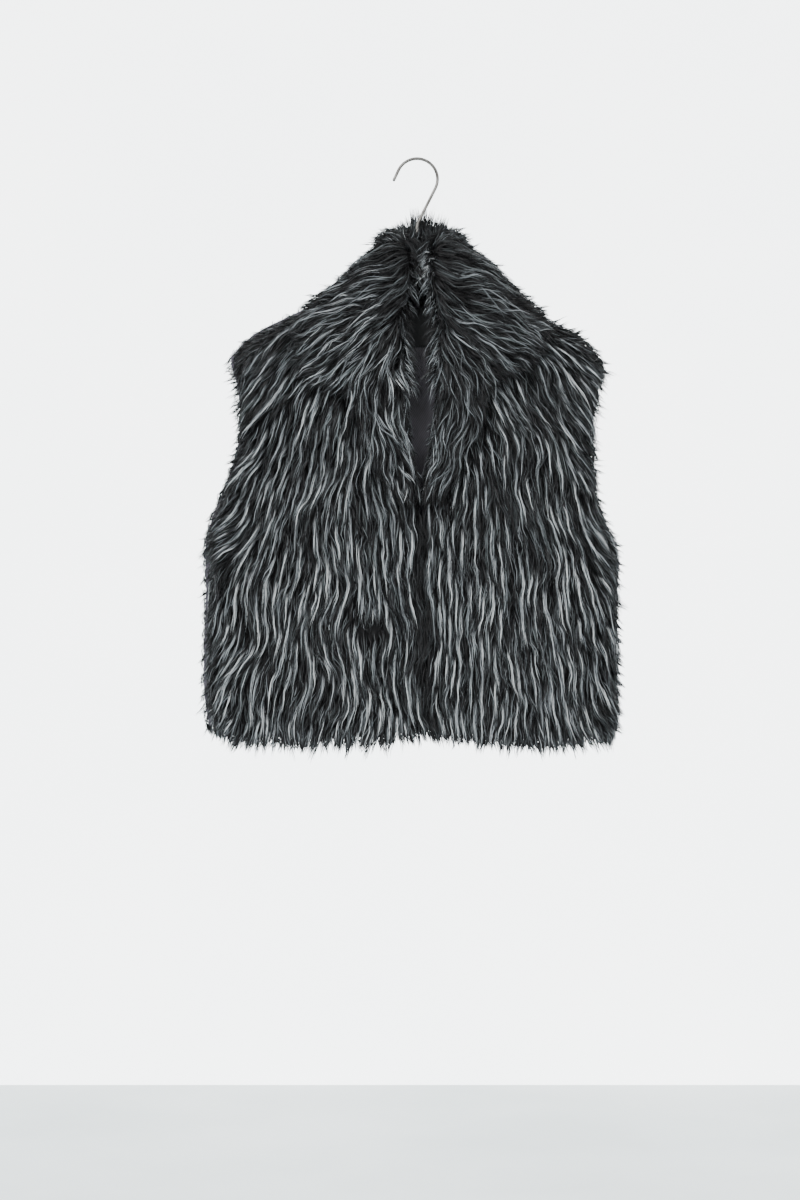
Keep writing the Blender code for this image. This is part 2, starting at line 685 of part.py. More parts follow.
def main():
    clear_scene()
    fur = make_material("faux_fur", FUR_COLOUR, 0.75)
    lining = make_material("satin_lining", LINING_COLOUR, 0.45)
    label = make_material("woven_label", LABEL_COLOUR, 0.6)
    steel = make_material("brushed_steel", STEEL_COLOUR, 0.3, 1.0)
    front_panel("front_left", -1, fur)
    front_panel("front_right", 1, fur)
    wall("back", *back_grids(), fur)
    collar("collar", fur)
    back_lining("lining_back", lining)
    neck_label("neck_label", label)
    rod("hanger_hook", hook_path(), WIRE_RADIUS, WIRE_SIDES, steel)
    rod("hanger_bar", bar_path(), BAR_RADIUS, BAR_SIDES, steel)


main()
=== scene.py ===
"""Looks of a faux fur vest that hangs on a steel hanger.

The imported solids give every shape. Each fur panel is dressed as the real one is made: a
backing cloth with its lining, and long combed pile that stands on the cloth in wavy locks.
All lengths are in metres. X runs across the vest, -Y is its front and +Z is up.
"""

from __future__ import annotations

import logging
import math
from dataclasses import dataclass
from enum import Enum

import bmesh
import bpy
import numpy as np
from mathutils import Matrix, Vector, noise
from mathutils.bvhtree import BVHTree


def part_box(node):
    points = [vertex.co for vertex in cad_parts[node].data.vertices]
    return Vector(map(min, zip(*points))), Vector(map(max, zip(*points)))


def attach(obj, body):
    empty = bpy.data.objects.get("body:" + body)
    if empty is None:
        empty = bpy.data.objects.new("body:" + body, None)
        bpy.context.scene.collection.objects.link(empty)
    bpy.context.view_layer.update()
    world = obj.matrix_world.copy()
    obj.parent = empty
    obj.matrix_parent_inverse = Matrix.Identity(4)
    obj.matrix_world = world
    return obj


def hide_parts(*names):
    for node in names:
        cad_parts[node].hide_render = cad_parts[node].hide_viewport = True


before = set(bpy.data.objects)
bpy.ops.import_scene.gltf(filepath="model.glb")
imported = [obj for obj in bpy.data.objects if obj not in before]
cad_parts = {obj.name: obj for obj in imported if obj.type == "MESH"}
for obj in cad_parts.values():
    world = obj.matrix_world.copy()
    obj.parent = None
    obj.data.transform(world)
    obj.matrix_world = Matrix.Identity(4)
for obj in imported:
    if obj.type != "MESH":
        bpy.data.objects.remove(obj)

LOG = logging.getLogger("vest")
BODY = "root"
TONES = 64
STEPS = 12


class Slot(str, Enum):
    """Names of material slots for the fur, the lining, the label and the steel."""

    FUR = "faux_fur"
    LINING = "satin_lining"
    LABEL = "woven_label"
    STEEL = "brushed_steel"


class Side(Enum):
    """Which half of a coat a piece holds, as seen from the front."""

    LEFT = -1
    RIGHT = 1
    WHOLE = 0


def linear(colour: str) -> tuple[float, float, float, float]:
    """Turns an sRGB hex colour into a linear one.

    Args:
        colour: six hex digits with a leading hash.

    Returns:
        Linear red, green, blue and an alpha of one.
    """
    parts = [int(colour[i : i + 2], 16) / 255 for i in (1, 3, 5)]
    turned = [p / 12.92 if p <= 0.04045 else ((p + 0.055) / 1.055) ** 2.4 for p in parts]
    return (*turned, 1.0)


def unit(vectors: np.ndarray) -> np.ndarray:
    """Scales the vectors in the last axis to a length of one, or zero where they had none."""
    return vectors / np.maximum(np.linalg.norm(vectors, axis=-1, keepdims=True), 1e-12)


def rotated(vectors: np.ndarray, axes: np.ndarray, angles: np.ndarray) -> np.ndarray:
    """Turns vectors that are square to their unit axes about those axes, by angles in radians."""
    return vectors * np.cos(angles)[:, None] + np.cross(axes, vectors) * np.sin(angles)[:, None]


# Materials


class Graph:
    """A material's node tree with one short way of adding to it."""

    def __init__(self, name: str) -> None:
        """Starts a material with an empty node tree.

        Args:
            name: the material's name.
        """
        self.material = bpy.data.materials.new(name)
        self.material.use_nodes = True
        self.tree = self.material.node_tree
        self.tree.nodes.clear()

    def add(self, kind: str, settings: dict | None = None, stops: tuple[tuple[float, str], ...] = (),
            **inputs) -> bpy.types.Node:
        """Adds one node, with its settings, values and links.

        Args:
            kind: the node's type name, after the words that every shader node's name starts with.
            settings: attributes of the node itself.
            stops: a ramp's places between 0 and 1, with their sRGB colours.
            inputs: values, sockets or nodes (for their first output), with spaces in socket names
                written as underscores and a socket's number written after a leading i.

        Returns:
            The new node.
        """
        node = self.tree.nodes.new("ShaderNode" + kind)
        for key, value in (settings or {}).items():
            setattr(node, key, value)
        for _ in stops[2:]:
            node.color_ramp.elements.new(0.5)
        for i, (place, colour) in enumerate(stops):
            node.color_ramp.elements[i].position = place
            node.color_ramp.elements[i].color = linear(colour)
        for key, value in inputs.items():
            place = int(key[1:]) if key[0] == "i" and key[1:].isdigit() else key.replace("_", " ")
            if isinstance(value, bpy.types.Node):
                value = value.outputs[0]
            if isinstance(value, bpy.types.NodeSocket):
                self.tree.links.new(value, node.inputs[place])
            else:
                node.inputs[place].default_value = value
        return node

    def finish(self, **inputs) -> bpy.types.Material:
        """Adds the Principled shader and the output.

        Args:
            inputs: values or links of the shader's sockets.

        Returns:
            The finished material.
        """
        self.add("OutputMaterial", Surface=self.add("BsdfPrincipled", **inputs))
        return self.material


@dataclass(frozen=True)
class PileFinish:
    """Modacrylic fur fibre: soft-shining, near black at the root and silver on the guard hairs.

    Each lock carries a tone number in its UV, which picks how light it is and how it is tinted,
    and the UV's height runs from root to tip.
    """

    name: str = "fur_pile"
    dark: str = "#121111"
    low: str = "#282828"
    middle: str = "#505353"
    light: str = "#8d9192"
    silver: str = "#cfd2d2"
    teal: str = "#86a09f"
    lilac: str = "#9d98aa"

    def make(self) -> bpy.types.Material:
        """Builds the material.

        Returns:
            The fur's material.
        """
        g = Graph(self.name)
        times, divide, floor = ({"operation": word} for word in ("MULTIPLY", "DIVIDE", "FLOOR"))
        soft, full = ({"data_type": "RGBA", "blend_type": word} for word in ("SOFT_LIGHT", "MULTIPLY"))
        split = g.add("SeparateXYZ", Vector=g.add("UVMap", {"uv_map": "OFBake"}))
        along = split.outputs[1]
        across = g.add("Math", times, i0=split, i1=float(TONES))
        tone = g.add("Math", floor, i0=across)
        level = g.add("Math", divide, i0=tone, i1=float(TONES - 1))
        chance = g.add("TexWhiteNoise", {"noise_dimensions": "1D"}, W=tone)
        tint = g.add("SeparateColor", Color=chance.outputs["Color"])
        toned = g.add("ValToRGB", Fac=level, stops=(
            (0.0, self.dark), (0.34, self.low), (0.62, self.middle), (0.84, self.light), (1.0, self.silver)))
        for channel, most, cast in ((0, 0.42, self.teal), (1, 0.40, self.lilac)):
            share = g.add("Math", times, i0=tint.outputs[channel], i1=most)
            toned = g.add("Mix", soft, i0=share, i6=toned, i7=linear(cast)).outputs[2]
        crowded = g.add("Math", times, i0=across, i1=5.0)
        fibres = g.add("CombineXYZ", X=crowded, Y=along, Z=tone)
        strands = g.add("TexNoise", {"noise_dimensions": "3D"}, Vector=fibres, Scale=1.3, Detail=2.0)
        fine = g.add("Math", {"operation": "MULTIPLY_ADD"}, i0=strands, i1=1.1, i2=0.45)
        root = g.add("ValToRGB", Fac=along, stops=(
            (0.0, "#1c1c1d"), (0.16, "#6e6e6e"), (0.36, "#e4e4e4"), (0.72, "#ffffff"), (1.0, "#b4b4b4")))
        shaded = g.add("Mix", full, i0=1.0, i6=toned, i7=root).outputs[2]
        grey = g.add("CombineColor", Red=fine, Green=fine, Blue=fine)
        colour = g.add("Mix", full, i0=1.0, i6=shaded, i7=grey).outputs[2]
        return g.finish(Base_Color=colour, Roughness=0.46, Specular_IOR_Level=0.18)


@dataclass(frozen=True)
class BackingFinish:
    """Knitted backing and the short undercoat on it: nearly black, felted and dull."""

    name: str = "fur_backing"
    dark: str = "#0c0c0d"
    light: str = "#1d1c1d"

    def make(self) -> bpy.types.Material:
        """Builds the material.

        Returns:
            The backing's material.
        """
        g = Graph(self.name)
        place = g.add("TexCoord").outputs["Object"]
        stretch = g.add("Mapping", Vector=place, Scale=(1.0, 1.0, 0.12))
        strands = g.add("TexNoise", Vector=stretch, Scale=900.0, Detail=3.0)
        colour = g.add("ValToRGB", Fac=strands, stops=((0.3, self.dark), (0.7, self.light)))
        bump = g.add("Bump", Strength=0.5, Distance=0.001, Height=strands)
        return g.finish(Base_Color=colour, Roughness=0.85, Specular_IOR_Level=0.15, Normal=bump)


@dataclass(frozen=True)
class SatinFinish:
    """Polyester satin lining: dull purple-grey, fine twill threads 0.35 mm apart, soft sheen, with soft cloudy
    patches of painted sheen and shade in its colour.
    """

    name: str = "satin"
    dark: str = "#232127"
    light: str = "#59555f"
    thread_mm: float = 0.35

    def make(self) -> bpy.types.Material:
        """Builds the material.

        Returns:
            The lining's material.
        """
        g = Graph(self.name)
        place = g.add("TexCoord").outputs["Object"]
        turned = g.add("Mapping", Vector=place, Rotation=(0.0, math.radians(28), 0.0))
        threads = g.add("TexWave", {"wave_type": "BANDS", "bands_direction": "X"},
                        Vector=turned, Scale=1000 / self.thread_mm / 20, Distortion=0.6).outputs[1]
        # Painted sheen and shade: the cloud's lighter and darker patches stand in for light on soft folds.
        cloud = g.add("TexNoise", Vector=place, Scale=22.0, Detail=3.0)
        painted_sheen = g.add("Math", {"operation": "MULTIPLY"}, i0=cloud, i1=0.8)
        shade = g.add("Math", {"operation": "MULTIPLY_ADD"}, i0=threads, i1=0.22, i2=painted_sheen)
        colour = g.add("ValToRGB", Fac=shade, stops=((0.25, self.dark), (0.8, self.light)))
        bump = g.add("Bump", Strength=0.25, Distance=0.0002, Height=threads)
        return g.finish(Base_Color=colour, Roughness=0.42, Specular_IOR_Level=0.5, Sheen_Weight=0.25,
                        Sheen_Roughness=0.35, Normal=bump)


@dataclass(frozen=True)
class LabelFinish:
    """Damask-woven label tape: black, ribbed with fine weft, a little glossier than the lining."""

    name: str = "label_weave"
    dark: str = "#08090a"
    light: str = "#17191b"
    weft_mm: float = 0.30

    def make(self) -> bpy.types.Material:
        """Builds the material.

        Returns:
            The label's material.
        """
        g = Graph(self.name)
        place = g.add("TexCoord").outputs["Object"]
        weft, warp = (
            g.add("TexWave", {"wave_type": "BANDS", "bands_direction": across},
                  Vector=place, Scale=1000 / self.weft_mm / 20, Distortion=0.3).outputs[1]
            for across in "ZX"
        )
        weave = g.add("Math", {"operation": "MULTIPLY"}, i0=weft, i1=warp)
        colour = g.add("ValToRGB", Fac=weave, stops=((0.0, self.dark), (1.0, self.light)))
        bump = g.add("Bump", Strength=0.35, Distance=0.0002, Height=weave)
        return g.finish(Base_Color=colour, Roughness=0.5, Specular_IOR_Level=0.4, Normal=bump)


@dataclass(frozen=True)
class ThreadFinish:
    """Spun polyester sewing thread: charcoal, with a visible twist."""

    name: str = "sewing_thread"
    dark: str = "#1e1f22"
    light: str = "#3c3e42"

    def make(self) -> bpy.types.Material:
        """Builds the material.

        Returns:
            The thread's material.
        """
        g = Graph(self.name)
        place = g.add("TexCoord").outputs["Object"]
        twist = g.add("TexWave", {"wave_type": "BANDS", "bands_direction": "DIAGONAL"},
                      Vector=place, Scale=180.0)
        colour = g.add("ValToRGB", Fac=twist.outputs[1], stops=((0.2, self.dark), (0.8, self.light)))
        return g.finish(Base_Color=colour, Roughness=0.6)


@dataclass(frozen=True)
class SteelFinish:
    """Drawn and tumbled steel wire: pale, brushed along its length, with faint handling marks."""

    name: str = "steel"
    pale: str = "#7b7975"
    grey: str = "#53514e"
    edge: str = "#6a6a6a"

    def make(self) -> bpy.types.Material:
        """Builds the material.

        Returns:
            The steel's material.
        """
        g = Graph(self.name)
        place = g.add("TexCoord").outputs["Object"]
        drawn = g.add("TexNoise", Vector=place, Scale=420.0, Detail=3.0)
        marks = g.add("TexNoise", Vector=place, Scale=60.0, Detail=4.0)
        colour = g.add("ValToRGB", Fac=marks, stops=((0.35, self.grey), (0.6, self.pale)))
        rough = g.add("Math", {"operation": "MULTIPLY_ADD"}, i0=drawn, i1=0.25, i2=0.18)
        bump = g.add("Bump", Strength=0.15, Distance=0.0002, Height=drawn)
        return g.finish(Base_Color=colour, Metallic=1.0, Roughness=rough,
                        Specular_Tint=linear(self.edge), Normal=bump)


@dataclass(frozen=True)
class StudioFinish:
    """Matt pale surface of the room, evenly lit, with a faint cloudiness."""

    name: str
    dark: str
    light: str
    glow: float

    def make(self) -> bpy.types.Material:
        """Builds the material.

        Returns:
            The surface's material.
        """
        g = Graph(self.name)
        place = g.add("TexCoord").outputs["Object"]
        cloud = g.add("TexNoise", Vector=place, Scale=1.4, Detail=5.0)
        colour = g.add("ValToRGB", Fac=cloud, stops=((0.3, self.dark), (0.7, self.light)))
        return g.finish(Base_Color=colour, Roughness=0.9, Specular_IOR_Level=0.1,
                        Emission_Color=colour, Emission_Strength=self.glow)


# Surfaces


class Surface:
    """A triangulated surface with smooth normals that can find the nearest place on itself."""

    def __init__(self, points: np.ndarray, faces: np.ndarray) -> None:
        """Takes the surface's corners and measures its faces.

        Args:
            points: one row for each corner.
            faces: three corner numbers for each face.
        """
        self.points = points
        self.faces = faces
        corners = points[faces]
        square = np.cross(corners[:, 1] - corners[:, 0], corners[:, 2] - corners[:, 0])
        self.areas = np.linalg.norm(square, axis=1) / 2
        self.face_normals = unit(square)
        sums = np.zeros_like(points)
        for k in range(3):
            np.add.at(sums, faces[:, k], square)
        self.normals = unit(sums)
        self.tree = BVHTree.FromPolygons(points.tolist(), faces.tolist())

    @classmethod
    def of_node(cls, name: str) -> "Surface":
        """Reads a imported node, with its doubled corners joined.

        Args:
            name: the node's name.

        Returns:
            The node's whole surface.
        """
        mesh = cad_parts[name].data
        mesh.calc_loop_triangles()
        places = np.empty(len(mesh.vertices) * 3)
        mesh.vertices.foreach_get("co", places)
        corners = np.empty(len(mesh.loop_triangles) * 3, dtype=np.int64)
        mesh.loop_triangles.foreach_get("vertices", corners)
        places = places.reshape(-1, 3)
        _, first, joined = np.unique(np.round(places * 1e5), axis=0, return_index=True, return_inverse=True)
        return cls(places[first], joined.reshape(-1)[corners].reshape(-1, 3))

    def regions(self, limit: float = math.radians(50)) -> list["Surface"]:
        """Parts the surface along its sharp edges.

        Args:
            limit: the sharpest bend inside a region, in radians.

        Returns:
            The regions, the largest first.
        """
        parents = list(range(len(self.faces)))

        def top(i: int) -> int:
            """Finds the face that stands for the region of face i."""
            while parents[i] != i:
                parents[i] = parents[parents[i]]
                i = parents[i]
            return i

        seen: dict[tuple[int, int], int] = {}
        least = math.cos(limit)
        for i, face in enumerate(self.faces.tolist()):
            for a, b in ((face[0], face[1]), (face[1], face[2]), (face[2], face[0])):
                other = seen.setdefault((min(a, b), max(a, b)), i)
                if other != i and float(self.face_normals[i] @ self.face_normals[other]) > least:
                    parents[top(i)] = top(other)
        groups: dict[int, list[int]] = {}
        for i in range(len(self.faces)):
            groups.setdefault(top(i), []).append(i)
        made = [self.only(np.array(group)) for group in groups.values()]
        return sorted(made, key=lambda part: -part.areas.sum())

    def only(self, kept: np.ndarray) -> "Surface":
        """Gives the surface of some of the faces, by their numbers or a mask."""
        used, faces = np.unique(self.faces[kept], return_inverse=True)
        return Surface(self.points[used], faces.reshape(-1, 3))

    def turned(self, distance: float) -> "Surface":
        """Gives the surface moved back along its normals and facing the other way."""
        return Surface(self.points - self.normals * distance, self.faces[:, ::-1])

    def edge(self) -> list[tuple[int, int]]:
        """Finds the open edges.

        Returns:
            Pairs of corners, each in its face's order.
        """
        sides = [(f[k], f[(k + 1) % 3]) for f in self.faces.tolist() for k in range(3)]
        present = set(sides)
        return [(a, b) for a, b in sides if (b, a) not in present]

    def scatter(self, count: int, rng: np.random.Generator) -> tuple[np.ndarray, np.ndarray]:
        """Picks places spread over the surface by area.

        Args:
            count: how many.
            rng: the source of chance.

        Returns:
            The places and the smooth normals there.
        """
        chosen = rng.choice(len(self.faces), count, p=self.areas / self.areas.sum())
        a, b = rng.random((2, count))
        folded = a + b > 1
        a[folded], b[folded] = 1 - a[folded], 1 - b[folded]
        shares = np.stack([1 - a - b, a, b], axis=1)[:, :, None]
        corners = self.faces[chosen]
        return (self.points[corners] * shares).sum(axis=1), unit((self.normals[corners] * shares).sum(axis=1))

    def feet(self, points: np.ndarray) -> tuple[np.ndarray, np.ndarray]:
        """Finds the nearest places on the surface.

        Args:
            points: one row for each point.

        Returns:
            The nearest places and the smooth normals there.
        """
        found = [self.tree.find_nearest(p) for p in points.tolist()]
        feet = np.array([hit[0][:] for hit in found])
        corners = self.points[self.faces[[hit[2] for hit in found]]]
        normals = self.normals[self.faces[[hit[2] for hit in found]]]
        weights = []
        for k in range(3):
            b, c = corners[:, (k + 1) % 3], corners[:, (k + 2) % 3]
            weights.append(np.linalg.norm(np.cross(b - feet, c - feet), axis=1))
        shares = np.stack(weights, axis=1)
        shares /= np.maximum(shares.sum(axis=1, keepdims=True), 1e-15)
        return feet, unit((normals * shares[:, :, None]).sum(axis=1))

    def covers(self, points: np.ndarray, directions: np.ndarray, reach: float) -> np.ndarray:
        """Tells which points lie under the surface.

        Args:
            points: one row for each point.
            directions: the way to look from each point.
            reach: how far to look.

        Returns:
            True for each point from which the surface is met.
        """
        pairs = zip(points.tolist(), directions.tolist())
        return np.array([self.tree.ray_cast(p, d, reach)[0] is not None for p, d in pairs])


def place_piece(name: str, shape: bpy.types.Mesh | bmesh.types.BMesh, materials: list[bpy.types.Material],
                node: str | None = None) -> bpy.types.Object:
    """Links a finished shape as a piece of the vest.

    Args:
        name: the piece's name.
        shape: its mesh, or a modelled shape to shade smooth.
        materials: its materials in slot order.
        node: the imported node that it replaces, or None.

    Returns:
        The piece.
    """
    mesh = shape
    if isinstance(shape, bmesh.types.BMesh):
        mesh = bpy.data.meshes.new(name)
        shape.to_mesh(mesh)
        shape.free()
        mesh.shade_smooth()
    for material in materials:
        mesh.materials.append(material)
    piece = bpy.data.objects.new(name, mesh)
    bpy.context.scene.collection.objects.link(piece)
    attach(piece, BODY)
    if node is not None:
        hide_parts(node)
    return piece


def triangle_mesh(name: str, points: np.ndarray, faces: np.ndarray,
                  uvs: np.ndarray | None = None) -> bpy.types.Mesh:
    """Makes a smooth triangle mesh from arrays.

    Args:
        name: the mesh's name.
        points: one row for each corner.
        faces: three corner numbers for each face.
        uvs: a UV place for each corner, or None.

    Returns:
        The mesh.
    """
    mesh = bpy.data.meshes.new(name)
    mesh.vertices.add(len(points))
    mesh.vertices.foreach_set("co", points.astype(np.float32).ravel())
    mesh.loops.add(faces.size)
    mesh.loops.foreach_set("vertex_index", faces.astype(np.int32).ravel())
    mesh.polygons.add(len(faces))
    mesh.polygons.foreach_set("loop_start", np.arange(0, faces.size, 3, dtype=np.int32))
    mesh.update(calc_edges=True)
    mesh.polygons.foreach_set("use_smooth", np.ones(len(faces), dtype=bool))
    if uvs is not None:
        layer = mesh.uv_layers.new(name="OFBake")
        layer.data.foreach_set("uv", uvs[faces.ravel()].astype(np.float32).ravel())
    return mesh


# Cloth


@dataclass(frozen=True)
class Cut:
    """The flat size that a cloth piece was cut to."""

    width: float
    length: float
    area: float


@dataclass
class Cloth:
    """A backing cloth with its lining, laid on the inner side of a fur wall.

    From the height hem[0] down to its lowest height, hem[1], the cloth runs shorter than the fur.
    """

    name: str
    node: str
    cut: Cut
    thickness: float = 0.0035
    hem: tuple[float, float] | None = (-0.70, -0.7805)
    hem_rise: float = 0.006
    held: str = "hung"

    def __post_init__(self) -> None:
        """Parts the node's wall into its fur side and its cloth side."""
        self.envelope, inner = Surface.of_node(self.node).regions()[:2]
        if self.hem is not None:
            high, low = self.hem
            centres = inner.points[inner.faces].mean(axis=1)
            inner = inner.only((inner.face_normals[:, 2] > -0.3) | (centres[:, 2] > high - 0.03))
            raised = inner.points.copy()
            raised[:, 2] -= np.minimum(raised[:, 2] - high, 0) * self.hem_rise / (high - low)
            inner = Surface(raised, inner.faces)
        self.inner = inner
        self.outer = inner.turned(self.thickness)

    def build(self, backing: bpy.types.Material, lining: bpy.types.Material) -> None:
        """Makes the cloth as one closed piece.

        Args:
            backing: the material of the side that carries the pile.
            lining: the material of the inner side.
        """
        count = len(self.inner.points)
        points = np.concatenate([self.inner.points, self.outer.points])
        rim = []
        for a, b in self.inner.edge():
            rim += [(b, a, a + count), (b, a + count, b + count)]
        faces = np.concatenate([self.inner.faces, self.outer.faces + count, np.array(rim)])
        mesh = triangle_mesh(self.name, points, faces)
        self.piece = place_piece(self.name, mesh, [backing, lining], self.node)
        kinds = np.zeros(len(faces), dtype=np.int32)
        kinds[: len(self.inner.faces)] = 1
        mesh.polygons.foreach_set("material_index", kinds)
        LOG.info("cloth %s: %d faces", self.name, len(faces))

    def declare(self, hairs: list[bpy.types.Object]) -> None:
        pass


# Pile


@dataclass(frozen=True)
class CombRow:
    """Which way the pile is combed at one place, in degrees from straight down towards +X."""

    x: float
    z: float
    turn: float


@dataclass(frozen=True)
class Bend:
    """One slow bend that neighbouring locks share, with its wavelengths along X and Z."""

    across: float
    down: float
    turn: float
    phase: float
    sharpness: int = 1


TORSO_BENDS = (
    Bend(0.260, 0.150, 5, 0.4),
    Bend(-0.170, 0.084, 3, 2.1),
    Bend(0.066, 0.041, 1.6, 4.4),
    Bend(0.190, 0.126, 17, 0.9, 21),
    Bend(-0.230, 0.155, -15, 3.6, 21),
)
COLLAR_BENDS = (
    Bend(0.070, 0.110, 6, 0.7),
    Bend(-0.045, 0.060, 5, 2.9),
    Bend(0.028, -0.070, 4, 5.1),
    Bend(0.066, 0.083, 16, 1.9, 7),
)


class Comb:
    """The way the pile lies, read smoothly between a few places."""

    def __init__(self, rows: list[CombRow], bends: tuple[Bend, ...], radius: float = 0.030) -> None:
        """Keeps the rows as arrays.

        Args:
            rows: places and the turn of the pile at each.
            bends: the bends that neighbouring locks share.
            radius: distance over which one row's hold fades.
        """
        self.places = np.array([(row.x, row.z) for row in rows])
        self.turns = np.radians([row.turn for row in rows])
        self.bends = bends
        self.radius = radius

    def flat(self, points: np.ndarray) -> np.ndarray:
        """Reads the comb before it is laid on the surface.

        Args:
            points: one row for each place.

        Returns:
            A unit direction in the XZ plane for each.
        """
        gaps = ((points[:, None, (0, 2)] - self.places[None]) ** 2).sum(axis=2)
        holds = (gaps + self.radius**2) ** -1.6
        across = (holds * np.sin(self.turns)).sum(axis=1)
        down = (holds * np.cos(self.turns)).sum(axis=1)
        return unit(np.stack([across, np.zeros_like(across), -down], axis=1))

    def laid(self, way: np.ndarray, points: np.ndarray, normals: np.ndarray) -> np.ndarray:
        """Lays directions on the surface and adds the shared bends.

        Args:
            way: one direction for each place.
            points: one row for each place.
            normals: the surface's normals there.

        Returns:
            A unit direction along the surface for each.
        """
        way = unit(way - normals * (way * normals).sum(axis=1, keepdims=True) + [0, 0, -1e-6])
        angles = np.zeros(len(points))
        for bend in self.bends:
            wave = np.sin(math.tau * (points[:, 0] / bend.across + points[:, 2] / bend.down) + bend.phase)
            angles += math.radians(bend.turn) * wave**bend.sharpness
        return rotated(way, normals, angles)

    def directions(self, points: np.ndarray, normals: np.ndarray) -> np.ndarray:
        """Reads the comb on the surface, as a unit direction for each place."""
        return self.laid(self.flat(points), points, normals)


class CollarComb(Comb):
    """The collar's comb: off the table in front, and out from the neck at the top and back."""

    centre = (0.005, 0.0)

    def directions(self, points: np.ndarray, normals: np.ndarray) -> np.ndarray:
        """Reads the comb on the collar.

        Args:
            points: one row for each place.
            normals: the surface's normals there.

        Returns:
            A unit direction along the surface for each.
        """
        across, deep = points[:, 0] - self.centre[0], points[:, 1] - self.centre[1]
        out = unit(np.stack([across, deep, np.zeros(len(points))], axis=1))
        behind = np.clip(points[:, 1:2] / 0.03, 0, 1)
        out = unit(out + [0, 0, -0.35] + behind * [0, 0, -0.9])
        share = np.clip((0.012 - points[:, 1:2]) / 0.030, 0, 1)
        return self.laid(self.flat(points) * share + out * (1 - share), points, normals)


@dataclass(frozen=True)
class Ribbons:
    """One kind of hair that a lock is made of.

    Each hair lies within spread of the lock's middle line, and a clump of one draws the hairs
    together at its tip, while a negative one spreads them. Widths are in metres, the length and
    the height are shares of the lock's own, and the tones run from 0, near black, to 63, silver.
    """

    per_lock: float
    sections: int
    width: tuple[float, float]
    length_share: tuple[float, float]
    spread: float
    clump: float
    height_share: tuple[float, float]
    tones: tuple[int, ...]
    roll: float


GROUND_HAIR = Ribbons(6.6, 4, (0.0009, 0.0017), (0.55, 1.0), 0.0062, 0.62, (0.25, 1.0),
                      (1, 3, 6, 9, 12, 15, 19, 23, 27, 31, 35), 0.8)
FINE_HAIR = Ribbons(1.2, 5, (0.0005, 0.0010), (0.7, 1.0), 0.0055, 0.4, (0.8, 1.05),
                    (34, 38, 42, 46, 50), 0.6)
LIGHT_CORE = Ribbons(2.5, 7, (0.0004, 0.0010), (0.7, 1.0), 0.0005, 0.1, (0.98, 1.10),
                     (54, 57, 60, 62, 63), 0.4)
LIGHT_WISP = Ribbons(3.6, 5, (0.0004, 0.0007), (0.45, 0.95), 0.0012, -1.9, (0.85, 1.1),
                     (44, 48, 52, 56, 60), 0.6)
COLLAR_HAIR = Ribbons(6.6, 4, (0.0008, 0.0016), (0.55, 1.0), 0.0060, 0.62, (0.25, 1.0),
                      (0, 1, 3, 5, 7, 9, 12, 15, 19, 24), 0.8)
COLLAR_FINE = Ribbons(0.8, 5, (0.0005, 0.0009), (0.7, 1.0), 0.0055, 0.4, (0.8, 1.05),
                      (30, 34, 38, 43, 48), 0.6)
COLLAR_CORE = Ribbons(2.2, 8, (0.0004, 0.0009), (0.7, 1.0), 0.0009, 0.0, (0.98, 1.10),
                      (48, 52, 56, 59, 62), 0.4)
COLLAR_WISP = Ribbons(1.6, 5, (0.0004, 0.0007), (0.45, 0.95), 0.0020, -1.9, (0.85, 1.1),
                      (36, 41, 46, 51, 56), 0.6)
FRINGE_KINDS = (
    Ribbons(8.0, 4, (0.0006, 0.0013), (0.55, 1.0), 0.0042, 0.75, (1, 1), (2, 6, 10, 15, 20, 26, 32), 0.8),
    Ribbons(1.3, 5, (0.0004, 0.0009), (0.7, 1.0), 0.0030, 0.3, (1, 1), (40, 46, 52, 58), 0.6),
)


@dataclass(frozen=True)
class Layer:
    """One layer of pile: how long, how high and how unruly its locks are.

    Stray, sway and hook are angles in degrees: a lock's own turn, its waves and the bend of its tip.
    A lock that is cut below the least share of its length is left out.
    """

    length: tuple[float, float]
    height: tuple[float, float]
    lift: float
    stray: float
    sway: float
    hook: float
    kinds: tuple[Ribbons, ...]
    least: float = 0.0


@dataclass(frozen=True)
class Parting:
    """A short break across the pile."""

    x: float
    z: float
    half_width: float
    half_height: float
    crossed: float = 0.2


@dataclass(frozen=True)
class Closing:
    """The low strip where the two fronts meet, where the pile's colour is darkened as painted shade of the gap
    between them.
    """

    rows: tuple[tuple[float, float], ...] = (
        (-0.780, 0.014), (-0.690, 0.015), (-0.610, 0.009), (-0.530, 0.004), (-0.475, 0.005),
    )
    half_width: float = 0.014
    top: float = -0.43

    def share(self, points: np.ndarray) -> np.ndarray:
        """Tells how near to the strip's middle the points are.

        Args:
            points: one row for each point.

        Returns:
            One in the middle of the strip, falling to zero at its edge.
        """
        middle = np.interp(points[:, 2], *zip(*self.rows))
        return np.clip(1 - np.abs(points[:, 0] - middle) / self.half_width, 0, 1) * (points[:, 2] < self.top)


